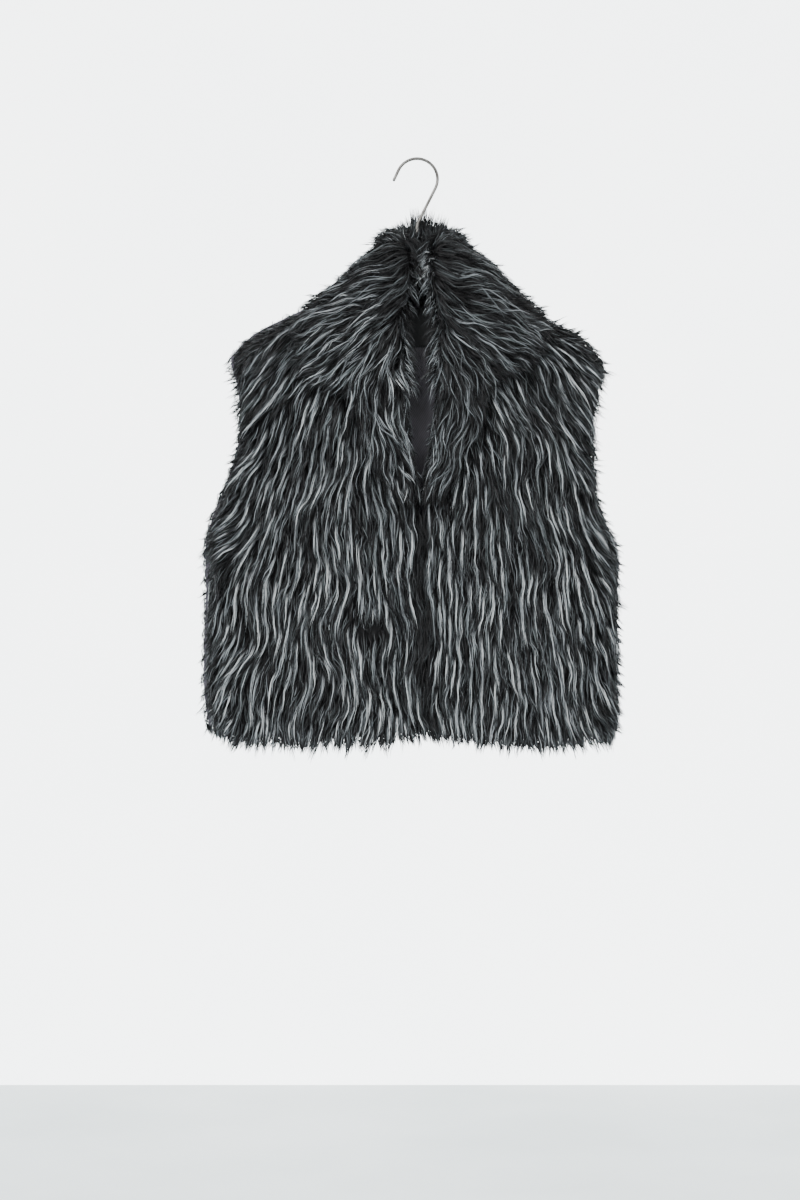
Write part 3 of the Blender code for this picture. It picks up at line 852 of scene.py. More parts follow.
@dataclass(frozen=True)
class NeckShade:
    """How the collar's pile shortens where it turns into the neck, where its colour is darkened as painted
    shade, and how it darkens towards the right.
    """

    centre: tuple[float, float] = (0.005, 0.0)
    half_width: float = 0.036
    lowest: float = -0.24
    deepest: float = 0.75
    short: float = 0.55
    right_edge: float = 0.018
    right_dim: float = 0.24

    def shares(self, foot: np.ndarray, normal: np.ndarray) -> tuple[np.ndarray, np.ndarray]:
        """Tells how much the locks are darkened, as painted shade in the neck, and towards the right, and how
        much of their length they keep.

        Args:
            foot: the locks' roots.
            normal: the cloth's normals there.

        Returns:
            The darkness, from zero to one, and the share of the length.
        """
        out = foot[:, :2] - self.centre
        inwards = -(unit(out) * normal[:, :2]).sum(axis=1)
        gap = np.clip(1.25 - np.abs(foot[:, 0] - self.centre[0]) / self.half_width, 0, 1)
        gap = gap * (foot[:, 2] > self.lowest)
        # Painted shade: darker where the pile faces into the neck and across the neck's gap.
        dim = np.maximum(np.clip((inwards - 0.2) / 0.5, 0, self.deepest), self.deepest * gap)
        dim = np.maximum(dim, self.right_dim * np.clip((foot[:, 0] - self.right_edge) / 0.02, 0, 1))
        return dim, np.where(inwards > 0.25, self.short, 1.0)


@dataclass(frozen=True)
class CoatPlan:
    """How the pile of one panel grows.

    The light tufts lie light_gap apart, in lines along the comb or spread evenly. Locks end between
    the two limits of past_edge past the cloth's edge, and those of beyond over the fur's envelope.
    Roots below hem_z are doubled, and stiffness keeps a lock's way where it leaves the cloth.
    """

    name: str
    seed: int
    locks: int
    ground: Layer
    light: Layer
    light_gap: float
    past_edge: tuple[float, float]
    beyond: tuple[float, float]
    in_lines: bool = True
    line_pitch: float = 0.015
    sides: tuple[Side, ...] = (Side.WHOLE,)
    closing: Closing | None = None
    partings: tuple[Parting, ...] = ()
    neck: NeckShade | None = None
    hem_z: float | None = -0.745
    stiffness: float = 2.2
    fringe_gap: float = 0.0058
    fringe_reach: tuple[float, float] = (-0.0070, 0.0095)


@dataclass
class Locks:
    """The middle lines of many locks, each with the same number of points."""

    feet: np.ndarray
    normals: np.ndarray
    alongs: np.ndarray
    heights: np.ndarray
    dim: np.ndarray

    @classmethod
    def bent(cls, start: np.ndarray, middle: np.ndarray, tip: np.ndarray, dim: float,
             nudge: float = 0.0) -> "Locks":
        """Bends locks freely from root to tip, with their flat side to the front.

        Args:
            start: the roots.
            middle: the places that the locks bend towards.
            tip: the tips.
            dim: how much darker they are than their tones, as painted shade.
            nudge: what keeps the flat side from failing where a lock points to the front.

        Returns:
            The locks.
        """
        share = np.linspace(0, 1, STEPS + 1)[None, :, None]
        rest = 1 - share
        points = start[:, None] * rest**2 + 2 * middle[:, None] * share * rest + tip[:, None] * share**2
        alongs = unit(np.gradient(points, axis=1))
        facing = np.array([0.0, -1.0, 0.0])
        normals = unit(facing + nudge - alongs * (alongs @ facing)[:, :, None])
        return cls(points, normals, alongs, np.zeros(points.shape[:2]), np.full(len(start), dim))

    def patches(self) -> np.ndarray:
        """Tells how many tones lighter each lock is: two soft waves, and darker above the chest.

        Returns:
            The added tones.
        """
        across, up = self.feet[:, 0, 0] * 1000, self.feet[:, 0, 2] * 1000
        wide, narrow = np.sin(across / 13 + up / 10 + 1.1), np.sin(up / 19 - across / 7.5)
        return 4 * wide + 3 * narrow - 4.0 * np.clip((up + 530) / 90, 0, 1)

    def read(self, rows: np.ndarray, at: np.ndarray) -> tuple[np.ndarray, ...]:
        """Reads the lines between their points.

        Args:
            rows: the lock of each reading, as a column.
            at: where to read, in steps from the root.

        Returns:
            Feet, normals, directions and heights.
        """
        first = np.minimum(at.astype(int), STEPS - 1)
        share = (at - first)[:, :, None]
        feet, normals, alongs, heights = (
            values[rows, first] * (1 - share) + values[rows, first + 1] * share
            for values in (self.feet, self.normals, self.alongs, self.heights[:, :, None])
        )
        return feet, unit(normals), unit(alongs), heights


@dataclass
class Hairs:
    """Many hairs of one kind, each a narrow ribbon that ends in a point."""

    points: np.ndarray
    uvs: np.ndarray

    @classmethod
    def on(cls, locks: Locks, kind: Ribbons, rng: np.random.Generator) -> "Hairs":
        """Makes all the hairs of one kind.

        Args:
            locks: the locks that they lie in.
            kind: the kind of hair.
            rng: the source of chance.

        Returns:
            The hairs.
        """
        count = len(locks.feet)
        number = np.floor(kind.per_lock + rng.random(count)).astype(int)
        owner = np.repeat(np.arange(count), number)
        total = len(owner)
        sections = np.linspace(0, 1, kind.sections + 1) ** 0.9
        # Each hair follows its own stretch of the lock's middle line.
        reach = rng.uniform(*kind.length_share, total)
        feet, normals, alongs, heights = locks.read(owner[:, None], reach[:, None] * sections[None] * STEPS)
        sides = unit(np.cross(normals, alongs))
        # It lies somewhere round that line, and is drawn to it or spread from it towards its tip.
        radius = kind.spread * np.sqrt(rng.random(total))
        around = rng.uniform(0, math.tau, total)
        pull = 1 - kind.clump * sections[None] ** 0.8
        wiggle = 0.0008 * np.sin(sections[None] * rng.uniform(5, 11, total)[:, None] + around[:, None])
        side_off = (radius * np.cos(around))[:, None] * pull + wiggle
        along_off = (radius * np.sin(around))[:, None] * np.clip(0.4 + 0.6 * pull, 0.4, 1.0)
        level = rng.uniform(*kind.height_share, total)[:, None, None]
        centre = (
            feet + sides * side_off[:, :, None] + alongs * along_off[:, :, None] + normals * heights * level
        )
        # The ribbon is rolled about its own line, widest near its root and pointed at its tip.
        roll = rng.normal(0, kind.roll, total)[:, None] + rng.normal(0, 0.5, total)[:, None] * sections[None]
        flat = sides * np.cos(roll)[:, :, None] + normals * np.sin(roll)[:, :, None]
        taper = np.interp(sections, (0, 0.20, 0.65, 1.0), (0.40, 1.0, 0.85, 0.0))
        half = (rng.uniform(*kind.width, total)[:, None] / 2 * taper[None])[:, :, None]
        last = kind.sections
        points = np.empty((total, 2 * last + 1, 3))
        points[:, 0 : 2 * last : 2] = (centre - flat * half)[:, :last]
        points[:, 1 : 2 * last : 2] = (centre + flat * half)[:, :last]
        points[:, 2 * last] = centre[:, last]
        # The tone is written to the UV as a column, which the fur's material reads back.
        tone = np.array(kind.tones)[rng.integers(0, len(kind.tones), total)]
        tone = tone + (locks.patches() + rng.normal(0, 3, count))[owner] + rng.uniform(-2, 2, total)
        # Painted shade: locks at the fronts' closing and in the neck take darker tones.
        tone = np.clip(np.floor(tone * (1 - 0.55 * locks.dim[owner])), 0, TONES - 1)
        uvs = np.empty((total, 2 * last + 1, 2))
        uvs[:, 0 : 2 * last : 2, 0] = ((tone + 0.10) / TONES)[:, None]
        uvs[:, 1 : 2 * last : 2, 0] = ((tone + 0.90) / TONES)[:, None]
        uvs[:, 2 * last, 0] = (tone + 0.5) / TONES
        level_uv = 0.01 + 0.98 * sections
        uvs[:, 0 : 2 * last : 2, 1] = level_uv[:last]
        uvs[:, 1 : 2 * last : 2, 1] = level_uv[:last]
        uvs[:, 2 * last, 1] = level_uv[last]
        return cls(points, uvs)

    def only(self, side: Side) -> "Hairs":
        """Keeps the hairs rooted on one side.

        Args:
            side: the side to keep.

        Returns:
            Those hairs.
        """
        if side is Side.WHOLE:
            return self
        keep = np.sign(self.points[:, 0, 0] - 1e-9) == side.value
        return Hairs(self.points[keep], self.uvs[keep])


def pile_piece(name: str, groups: list[Hairs], material: bpy.types.Material) -> bpy.types.Object:
    """Joins hairs into one piece.

    Args:
        name: the piece's name.
        groups: the hairs, one group for each kind.
        material: the pile's material.

    Returns:
        The piece.
    """
    faces, start = [], 0
    for group in groups:
        each = group.points.shape[1]
        strip = [(a, a + 1, a + 3) for a in range(0, each - 3, 2)]
        strip += [(a, a + 3, a + 2) for a in range(0, each - 3, 2)]
        strip.append((each - 3, each - 2, each - 1))
        starts = np.arange(len(group.points))[:, None, None] * each + start
        faces.append((np.array(strip)[None] + starts).reshape(-1, 3))
        start += group.points.shape[0] * each
    points = np.concatenate([group.points.reshape(-1, 3) for group in groups])
    uvs = np.concatenate([group.uvs.reshape(-1, 2) for group in groups])
    mesh = triangle_mesh(name, points, np.concatenate(faces), uvs)
    LOG.info("pile %s: %d triangles", name, len(mesh.polygons))
    return place_piece(name, mesh, [material])


@dataclass
class Coat:
    """The pile of one panel: locks combed over the cloth, each of many narrow hairs.

    No pile grows under the cover. Beside the armholes, which are centred at the height arm_z, the
    pile stands out farther by arm_out on the left and the right, and by right_out all down the right.
    The outline's tufts repeat every tuft_mm, more or less by a drift of drift_mm. The fringe stands
    where the envelope faces more than fringe_side to a side, or fringe_up up or down.
    """

    plan: CoatPlan
    cloth: Cloth
    comb: Comb
    cover: Surface | None = None
    arm_z: float = -0.345
    arm_reach: float = 0.10
    arm_out: tuple[float, float] = (0.004, 0.008)
    right_out: float = 0.003
    tuft_mm: float = 17
    drift_mm: float = 29
    fringe_side: float = 0.72
    fringe_up: float = 0.55
    fringe_length: tuple[float, float] = (0.010, 0.021)
    hem_fringe: float = 0.4
    fringe_rise: float = 0.006
    root_rise: float = 0.001
    line_step: float = 0.004
    line_steps: int = 200
    cover_ahead: float = 0.016
    cover_reach: float = 0.040

    def __post_init__(self) -> None:
        """Starts the coat's own source of chance."""
        self.rng = np.random.default_rng(self.plan.seed)

    def spread(self, number: int) -> np.ndarray:
        """Spreads roots evenly over the fur side of the wall.

        Args:
            number: how many to spread at most.

        Returns:
            Places on the fur's envelope.
        """
        places, _ = self.cloth.envelope.scatter(number * 5, self.rng)
        apart = 0.74 * math.sqrt(float(self.cloth.envelope.areas.sum()) / number)
        grid = Grid(apart)
        kept = []
        for i, place in enumerate(places):
            if grid.clear(place, apart):
                grid.put(place)
                kept.append(i)
                if len(kept) == number:
                    break
        return places[kept]

    def lines(self, starts: np.ndarray) -> np.ndarray:
        """Lays evenly spaced lines along the comb, and picks the light tufts' roots on them.

        Args:
            starts: places from which lines may start.

        Returns:
            The tufts' roots on the cloth.
        """
        plan, rng, step = self.plan, self.rng, self.line_step
        grid = Grid(plan.light_gap)
        roots = []
        for start in starts[np.argsort(-starts[:, 2])]:
            if not grid.clear(start, plan.light_gap):
                continue
            line: list[np.ndarray] = []
            for sign in (-1, 1):
                at = start[None]
                for _ in range(self.line_steps):
                    foot, normal = self.cloth.outer.feet(at)
                    if line and np.linalg.norm(at - foot) > 0.75 * step:
                        break
                    if not grid.clear(foot[0], 0.5 * plan.light_gap):
                        break
                    line.append(foot[0])
                    at = foot + self.comb.directions(foot, normal) * step * sign
                if sign < 0:
                    line.reverse()
            for point in line:
                grid.put(point)
            run = rng.uniform(0, plan.line_pitch)
            while run < (len(line) - 1) * step:
                if rng.random() > 0.03:
                    roots.append(line[int(run / step)])
                run += plan.line_pitch * rng.uniform(0.8, 1.25)
        return np.array(roots)

    def in_sight(self, places: np.ndarray) -> np.ndarray:
        """Leaves out the roots under the cover and in the partings.

        Args:
            places: roots.

        Returns:
            The roots that are kept.
        """
        foot, normals = self.cloth.outer.feet(places)
        kept = np.ones(len(places), dtype=bool)
        if self.cover is not None:
            ahead = foot + self.comb.directions(foot, normals) * self.cover_ahead
            kept = ~self.cover.covers(ahead, normals, self.cover_reach)
        for gap in self.plan.partings:
            kept &= (
                (np.abs(places[:, 0] - gap.x) > gap.half_width)
                | (np.abs(places[:, 2] - gap.z) > gap.half_height)
                | (self.rng.random(len(places)) < gap.crossed)
            )
        return places[kept]

    def grow(self, places: np.ndarray, layer: Layer) -> Locks:
        """Combs each lock over the cloth, step by step.

        Args:
            places: the locks' roots.
            layer: how they grow.

        Returns:
            The locks' middle lines.
        """
        plan, rng = self.plan, self.rng
        count = len(places)
        foot, normal = self.cloth.outer.feet(places)
        length = rng.uniform(*layer.length, count)
        dim = np.zeros(count)
        # The closing and the neck darken their locks' colour, as painted shade of the gap between the fronts
        # and of the neck.
        if plan.closing is not None:
            dim = plan.closing.share(foot)
        if plan.neck is not None:
            dim, short = plan.neck.shares(foot, normal)
            length = length * short
        # Locks darkened by painted shade lie lower. Where the form turns to a side or up, locks start lower
        # and lift off more.
        top = rng.uniform(*layer.height, count) * (1 - 0.45 * dim)
        edge_on = np.clip((np.maximum(np.abs(normal[:, 0]), normal[:, 2]) - 0.35) / 0.4, 0, 1)
        lift = rng.random(count) * layer.lift * (0.15 + 0.85 * edge_on)
        top = top * (1 - 0.35 * edge_on)
        sway = np.radians(rng.uniform(-layer.sway, layer.sway, count))
        turns = length / rng.uniform(0.020, 0.040, count)
        phase = rng.uniform(0, math.tau, count)
        stray = np.radians(rng.normal(0, layer.stray, count))
        hook = np.radians(rng.normal(0, layer.hook, count))
        place = foot + normal * self.root_rise
        steps: list[list[np.ndarray]] = [[], [], [], [], []]
        last = np.zeros_like(place)
        for k in range(STEPS + 1):
            share = k / STEPS
            rise = top * (1 - (1 - min(share / 0.3, 1.0)) ** 2) + self.root_rise + lift * share**2
            foot, normal = self.cloth.outer.feet(place)
            # Past the cloth's edge a lock keeps its own way, and it never dives back to the cloth.
            away = place - foot
            tall = (away * normal).sum(axis=1)
            past = away - normal * tall[:, None]
            rise = np.maximum(rise, 0.95 * tall)
            place = foot + past + normal * rise[:, None]
            way = self.comb.directions(foot, normal)
            angle = sway * np.sin(math.tau * turns * share + phase) + stray
            way = rotated(way, normal, angle + hook * max(0.0, share - 0.75) / 0.25)
            leaving = np.clip((last * normal).sum(axis=1, keepdims=True) / 0.2, 0, 1)
            way = unit(way + last * leaving * self.plan.stiffness)
            last = way
            for kept, value in zip(steps, (foot + past, normal, way, rise, np.linalg.norm(past, axis=1))):
                kept.append(value)
            place = place + way * (length / STEPS)[:, None]
        feet, normals, alongs, heights, pasts = (np.stack(part, axis=1) for part in steps)
        grown = Locks(feet, normals, alongs, heights, dim)
        return self.held_in(self.trimmed(grown, pasts, layer.least))

    def fringe(self) -> Locks:
        """Stands short pointed tufts off the form's sides, top and hem, where they break its outline.

        Returns:
            The tufts' middle lines.
        """
        plan, rng = self.plan, self.rng
        places, facing = self.cloth.envelope.scatter(plan.locks * 4, rng)
        places = places[(np.abs(facing[:, 0]) > self.fringe_side) | (np.abs(facing[:, 2]) > self.fringe_up)]
        grid, kept = Grid(plan.fringe_gap), []
        for place in places:
            if grid.clear(place, plan.fringe_gap):
                grid.put(place)
                kept.append(place)
        places = self.in_sight(np.array(kept))
        tips, out = self.cloth.envelope.feet(places)
        foot, normal = self.cloth.outer.feet(places)
        along = unit(self.comb.directions(foot, normal) + rng.normal(0, 0.16, foot.shape))
        low = out[:, 2:] < -0.5
        length = rng.uniform(*self.fringe_length, (len(foot), 1))
        tip = tips + along * length * np.where(low, self.hem_fringe, 1.0)
        share = 0.75 * self.tufted(tip, out) + 0.25 * rng.random(len(foot))
        past = plan.fringe_reach[0] + (plan.fringe_reach[1] - plan.fringe_reach[0]) * share + self.outset(tip)
        middle = foot + along * self.fringe_rise + normal * self.fringe_rise
        return Locks.bent(foot, middle, tip + out * np.where(low, 0.0, past[:, None]), 0.0, 1e-6)

    def over(self, grown: Locks) -> tuple[np.ndarray, np.ndarray]:
        """Measures how far each point of the locks lies over the fur's envelope.

        Args:
            grown: the locks.

        Returns:
            The distances, and the envelope's normals.
        """
        points = (grown.feet + grown.normals * grown.heights[:, :, None]).reshape(-1, 3)
        feet, normals = self.cloth.envelope.feet(points)
        shape = grown.heights.shape
        return ((points - feet) * normals).sum(axis=1).reshape(shape), normals.reshape(*shape, 3)

    def outset(self, points: np.ndarray) -> np.ndarray:
        """Tells how much farther the pile stands out on the right, and beside the armholes.

        Args:
            points: places over the cloth.

        Returns:
            The added distances.
        """
        by_arm = np.clip(1 - np.abs(points[..., 2] - self.arm_z) / self.arm_reach, 0, 1)
        right, left = points[..., 0] > 0.15, points[..., 0] < -0.15
        return right * (self.right_out + self.arm_out[1] * by_arm) + left * self.arm_out[0] * by_arm

    def tufted(self, points: np.ndarray, facing: np.ndarray) -> np.ndarray:
        """Shapes the outline's tufts: each stands out more and more along the pile, then ends at once.

        Args:
            points: places over the cloth.
            facing: the envelope's normals there.

        Returns:
            How far the pile stands out there, from 0 in a notch to 1 at a tuft's tip.
        """
        beside = np.abs(facing[..., 0]) > facing[..., 2]
        run = np.where(beside, -points[..., 2], np.abs(points[..., 0])) * 1000
        phase = run / self.tuft_mm + 0.55 * np.sin(run / self.drift_mm + 2 * np.sign(points[..., 0]))
        return (phase % 1.0) ** 1.2

    def parted(self, grown: Locks, stop: np.ndarray) -> np.ndarray:
        """Ends the locks that would cross a parting at its ragged upper edge.

        Args:
            grown: the full locks.
            stop: the step at which each lock ends so far.

        Returns:
            The steps at which they end.
        """
        count = len(grown.feet)
        for gap in self.plan.partings:
            edge = gap.z + gap.half_height * self.rng.uniform(0.3, 1.0, count)
            above = (np.abs(grown.feet[:, 0, 0] - gap.x) < gap.half_width) & (grown.feet[:, 0, 2] > gap.z)
            above &= self.rng.random(count) > gap.crossed
            for k in range(STEPS, 0, -1):
                crossing = above & (grown.feet[:, k, 2] < edge)
                stop = np.where(crossing, np.minimum(stop, k - 0.5), stop)
        return stop

    def trimmed(self, grown: Locks, pasts: np.ndarray, least: float) -> Locks:
        """Shortens the locks that reach too far past the cloth's edge or the envelope, or over a parting.

        Args:
            grown: the full locks.
            pasts: how far each point lies past the cloth's edge.
            least: the share of its length below which a lock is left out.

        Returns:
            The shortened locks.
        """
        count = len(grown.feet)
        stop = np.full(count, float(STEPS))
        out, facing = self.over(grown)
        out = np.where((np.abs(facing[:, :, 0]) > 0.5) | (facing[:, :, 2] > 0.45), out, -1.0)
        beside = self.tufted(grown.feet, facing)
        across = grown.feet[:, :, 0] * 1000
        below = 0.5 + 0.5 * np.sin(across / 2.1 + 2.2 * np.sin(across / 9.0))
        over = out - self.outset(grown.feet)
        for values, limits, tuft, ordered in (
            (pasts, self.plan.past_edge, below, 0.35),
            (over, self.plan.beyond, beside, 0.7),
        ):
            share = ordered * tuft + (1 - ordered) * self.rng.random((count, 1)) ** 1.4
            allowed = limits[0] + (limits[1] - limits[0]) * share
            for k in range(STEPS, 0, -1):
                span = np.maximum(values[:, k] - values[:, k - 1], 1e-9)
                at = k - 1 + np.clip((allowed[:, k] - values[:, k - 1]) / span, 0, 1)
                stop = np.where(values[:, k] > allowed[:, k], np.minimum(stop, at), stop)
        stop = self.parted(grown, stop)
        kept = np.flatnonzero(stop >= least * STEPS)
        at = np.maximum(stop[kept], 3.0)[:, None] * np.linspace(0, 1, STEPS + 1)[None]
        feet, normals, alongs, heights = grown.read(kept[:, None], at)
        return Locks(feet, normals, alongs, heights[:, :, 0], grown.dim[kept])

    def held_in(self, grown: Locks) -> Locks:
        """Presses back the locks that still reach too far over the fur's envelope.

        Args:
            grown: the locks.

        Returns:
            The pressed locks.
        """
        out, normals = self.over(grown)
        over = np.maximum(out - self.plan.beyond[1] - self.outset(grown.feet), 0)
        back = normals * (over * (normals[:, :, 2] > -0.4))[:, :, None]
        return Locks(grown.feet - back, grown.normals, grown.alongs, grown.heights, grown.dim)

    def build(self, material: bpy.types.Material) -> list[bpy.types.Object]:
        """Grows the coat and makes its pieces.

        Args:
            material: the pile's material.

        Returns:
            The pieces, one for each side that the plan names.
        """
        plan = self.plan
        places = self.spread(plan.locks)
        if plan.hem_z is not None:
            low = places[places[:, 2] < plan.hem_z]
            places = np.concatenate([places, low + self.rng.normal(0, 0.003, low.shape)])
        if plan.in_lines:
            tufts = self.lines(places)
        else:
            area = float(self.cloth.envelope.areas.sum())
            tufts = self.spread(int(area / plan.light_gap**2))
        ground = self.grow(self.in_sight(places), plan.ground)
        light = self.grow(self.in_sight(tufts), plan.light)
        # Light tufts are left out where the closing's painted shade is deep.
        if plan.closing is not None:
            keep = light.dim < 0.35
            light = Locks(*(part[keep] for part in vars(light).values()))
        made = [Hairs.on(ground, kind, self.rng) for kind in plan.ground.kinds]
        made += [Hairs.on(light, kind, self.rng) for kind in plan.light.kinds]
        fringe = self.fringe()
        made += [Hairs.on(fringe, kind, self.rng) for kind in FRINGE_KINDS]
        LOG.info("coat %s: %d locks, %d light tufts, %d fringe tufts",
                 plan.name, len(ground.feet), len(light.feet), len(fringe.feet))
        pieces = []
        for side in plan.sides:
            name = plan.name if side is Side.WHOLE else f"{plan.name}_{side.name.lower()}"
            pieces.append(pile_piece(name, [group.only(side) for group in made], material))
        return pieces


class Grid:
    """A lookup of points by the cell that they lie in."""

    def __init__(self, size: float) -> None:
        """Starts an empty lookup with cells of one size."""
        self.size = size
        self.cells: dict[tuple[int, int, int], list[np.ndarray]] = {}

    def cell(self, point: np.ndarray) -> tuple[int, int, int]:
        """Names a point's cell by three numbers."""
        x, y, z = (int(v) for v in np.floor(point / self.size))
        return x, y, z

    def put(self, point: np.ndarray) -> None:
        """Adds a point."""
        self.cells.setdefault(self.cell(point), []).append(point)

    def clear(self, point: np.ndarray, least: float) -> bool:
        """Tells whether no point lies near.

        Args:
            point: where to look.
            least: the nearest that a point may lie, at most the cell's size.

        Returns:
            True if none lies nearer.
        """
        x, y, z = self.cell(point)
        for dx in (-1, 0, 1):
            for dy in (-1, 0, 1):
                for dz in (-1, 0, 1):
                    for other in self.cells.get((x + dx, y + dy, z + dz), ()):
                        gap = point - other
                        if float(gap @ gap) < least * least:
                            return False
        return True


@dataclass(frozen=True)
class TuftBand:
    """A band of free tufts by the neck: where they are rooted, how they set out and how they fall.

    The roots lie between low and high, and first and second are the two legs of a tuft, all in
    millimetres. A fan spreads the tufts away from the hook, and a bell makes the outer ones shorter.
    A band's darkening is painted shade, which lowers its tufts' tones.
    """

    count: int
    low: tuple[float, float, float]
    high: tuple[float, float, float]
    first: tuple[float, float, float]
    second: tuple[float, float, float]
    dim: float
    kinds: tuple[Ribbons, ...]
    fan: float = 0.0
    bell: float = 0.0


NECK_DARK = (Ribbons(7.0, 5, (0.0007, 0.0014), (0.6, 1.0), 0.0040, 0.5, (1, 1), (2, 7, 12, 18, 24, 30), 0.8),
             Ribbons(1.0, 6, (0.0005, 0.0010), (0.7, 1.0), 0.0030, 0.4, (1, 1), (34, 40, 46), 0.6))
NECK_LIGHT = (Ribbons(2.4, 7, (0.0004, 0.0008), (0.6, 1.0), 0.0030, 0.1, (1, 1), (44, 50, 54, 58, 62), 0.5),)
CREST = (Ribbons(7.5, 5, (0.0005, 0.0012), (0.5, 1.0), 0.0046, 0.78, (1, 1), (4, 9, 14, 20, 26, 33, 40), 0.8),
         Ribbons(0.6, 6, (0.0004, 0.0008), (0.7, 1.0), 0.0030, 0.2, (1, 1), (42, 48, 54, 60), 0.6))
# Each band's sixth value darkens its tufts as painted shade, most in the neck's gap on the left.
NECK_BANDS = (
    TuftBand(50, (-22, -36, -235), (-10, -16, -110), (7, -5, -4), (6, 2, -20), 0.5, NECK_DARK),
    TuftBand(50, (18, -36, -235), (30, -16, -110), (-7, -5, -4), (-6, 2, -20), 0.3, NECK_DARK),
    TuftBand(44, (-20, -30, -160), (-10, -12, -100), (13, -5, 1), (8, 2, -20), 0.6, NECK_DARK),
    TuftBand(44, (18, -30, -160), (28, -12, -100), (-12, -5, 1), (-7, 2, -20), 0.3, NECK_DARK),
    TuftBand(34, (-14, 12, -186), (24, 22, -172), (0, -6, -6), (1, 0, -14), 0.2, NECK_DARK),
    TuftBand(54, (16, -34, -215), (28, -14, -106), (-8, -7, -2), (-4, 1, -28), 0.0, NECK_LIGHT),
    TuftBand(18, (14, -30, -150), (26, -14, -104), (-14, -6, 4), (-10, 1, -24), 0.0, NECK_LIGHT),
    TuftBand(26, (-20, -34, -240), (-10, -16, -130), (8, -7, -2), (8, 1, -26), 0.1, NECK_LIGHT),
    TuftBand(14, (-14, 10, -190), (22, 20, -150), (2, -10, -4), (4, 0, -12), 0.1, NECK_LIGHT),
    TuftBand(40, (-26, -36, -268), (-12, -16, -226), (14, -4, -5), (6, 1, -16), 0.3, NECK_DARK),
    TuftBand(40, (18, -36, -268), (32, -16, -226), (-14, -4, -5), (-6, 1, -16), 0.3, NECK_DARK),
    TuftBand(12, (-26, -38, -290), (-10, -20, -222), (9, -7, -8), (7, 1, -24), 0.0, NECK_LIGHT),
    TuftBand(12, (18, -38, -290), (32, -20, -222), (-9, -7, -8), (-7, 1, -24), 0.0, NECK_LIGHT),
    TuftBand(400, (-24, -14, -114), (38, 24, -100), (0, -1, 18), (0, -1, 22), 0.0, CREST, 0.34, 0.85),
    TuftBand(60, (-16, -28, -124), (26, -10, -104), (0, -3, 9), (0, -1, 9), 0.2, CREST, -0.30),
    TuftBand(90, (-44, -18, -126), (-20, 18, -98), (-7, -1, 1), (-9, 0, -1), 0.0, CREST),
    TuftBand(90, (32, -18, -126), (58, 18, -98), (6, -1, 2), (8, 0, -1), 0.0, CREST),
    TuftBand(36, (-30, -38, -296), (-12, -16, -240), (13, -5, -6), (9, 1, -18), 0.3, NECK_DARK),
    TuftBand(36, (18, -38, -296), (36, -16, -240), (-13, -5, -6), (-9, 1, -18), 0.3, NECK_DARK),
    TuftBand(22, (-30, -40, -300), (-12, -18, -236), (11, -8, -6), (8, 1, -22), 0.0, NECK_LIGHT),
    TuftBand(28, (18, -40, -306), (36, -18, -236), (-11, -8, -6), (-8, 1, -22), 0.0, NECK_LIGHT),
    TuftBand(30, (16, -34, -205), (28, -14, -118), (-10, -8, -2), (-6, 1, -24), 0.0, NECK_LIGHT),
)


@dataclass
class NeckTufts:
    """Loose tufts on the collar that hang over the neck's gap and stand up round the hook's foot."""

    bands: tuple[TuftBand, ...]
    collar: Surface
    hook_x: float = 0.006
    crest_half: float = 0.028
    seed: int = 21

    def __post_init__(self) -> None:
        """Starts the tufts' own source of chance."""
        self.rng = np.random.default_rng(self.seed)

    def grow(self, band: TuftBand) -> Locks:
        """Bends each tuft from its root through its first leg to its tip.

        Args:
            band: the band of tufts.

        Returns:
            The tufts' middle lines.
        """
        rng = self.rng
        low, high, first, second = (np.array(v) / 1000 for v in (band.low, band.high, band.first, band.second))
        start, out = self.collar.feet(rng.uniform(low, high, (band.count, 3)))
        start = start - out * 0.003
        sizes = rng.uniform(0.7, 1.35, (2, band.count, 1))
        fan = (start[:, :1] - self.hook_x) * band.fan * [1.0, 0.0, 0.0]
        sizes *= np.clip(1 - band.bell * ((start[:, :1] - self.hook_x) / self.crest_half) ** 2, 0.3, 1.0)
        middle = start + (first + fan) * sizes[0] + rng.normal(0, 0.0020, start.shape)
        tip = middle + (second + fan) * sizes[1] + rng.normal(0, 0.0042, start.shape)
        return Locks.bent(start, middle, tip, band.dim)

    def build(self, material: bpy.types.Material) -> bpy.types.Object:
        """Makes all the tufts as one piece.

        Args:
            material: the pile's material.

        Returns:
            The piece.
        """
        groups = []
        for band in self.bands:
            locks = self.grow(band)
            groups += [Hairs.on(locks, kind, self.rng) for kind in band.kinds]
        return pile_piece("fur_neck_tufts", groups, material)


def millimetres(rows: list[tuple[float, float, float]]) -> list[CombRow]:
    """Reads comb rows given as X and Z in millimetres and a turn in degrees."""
    return [CombRow(x / 1000, z / 1000, turn) for x, z, turn in rows]


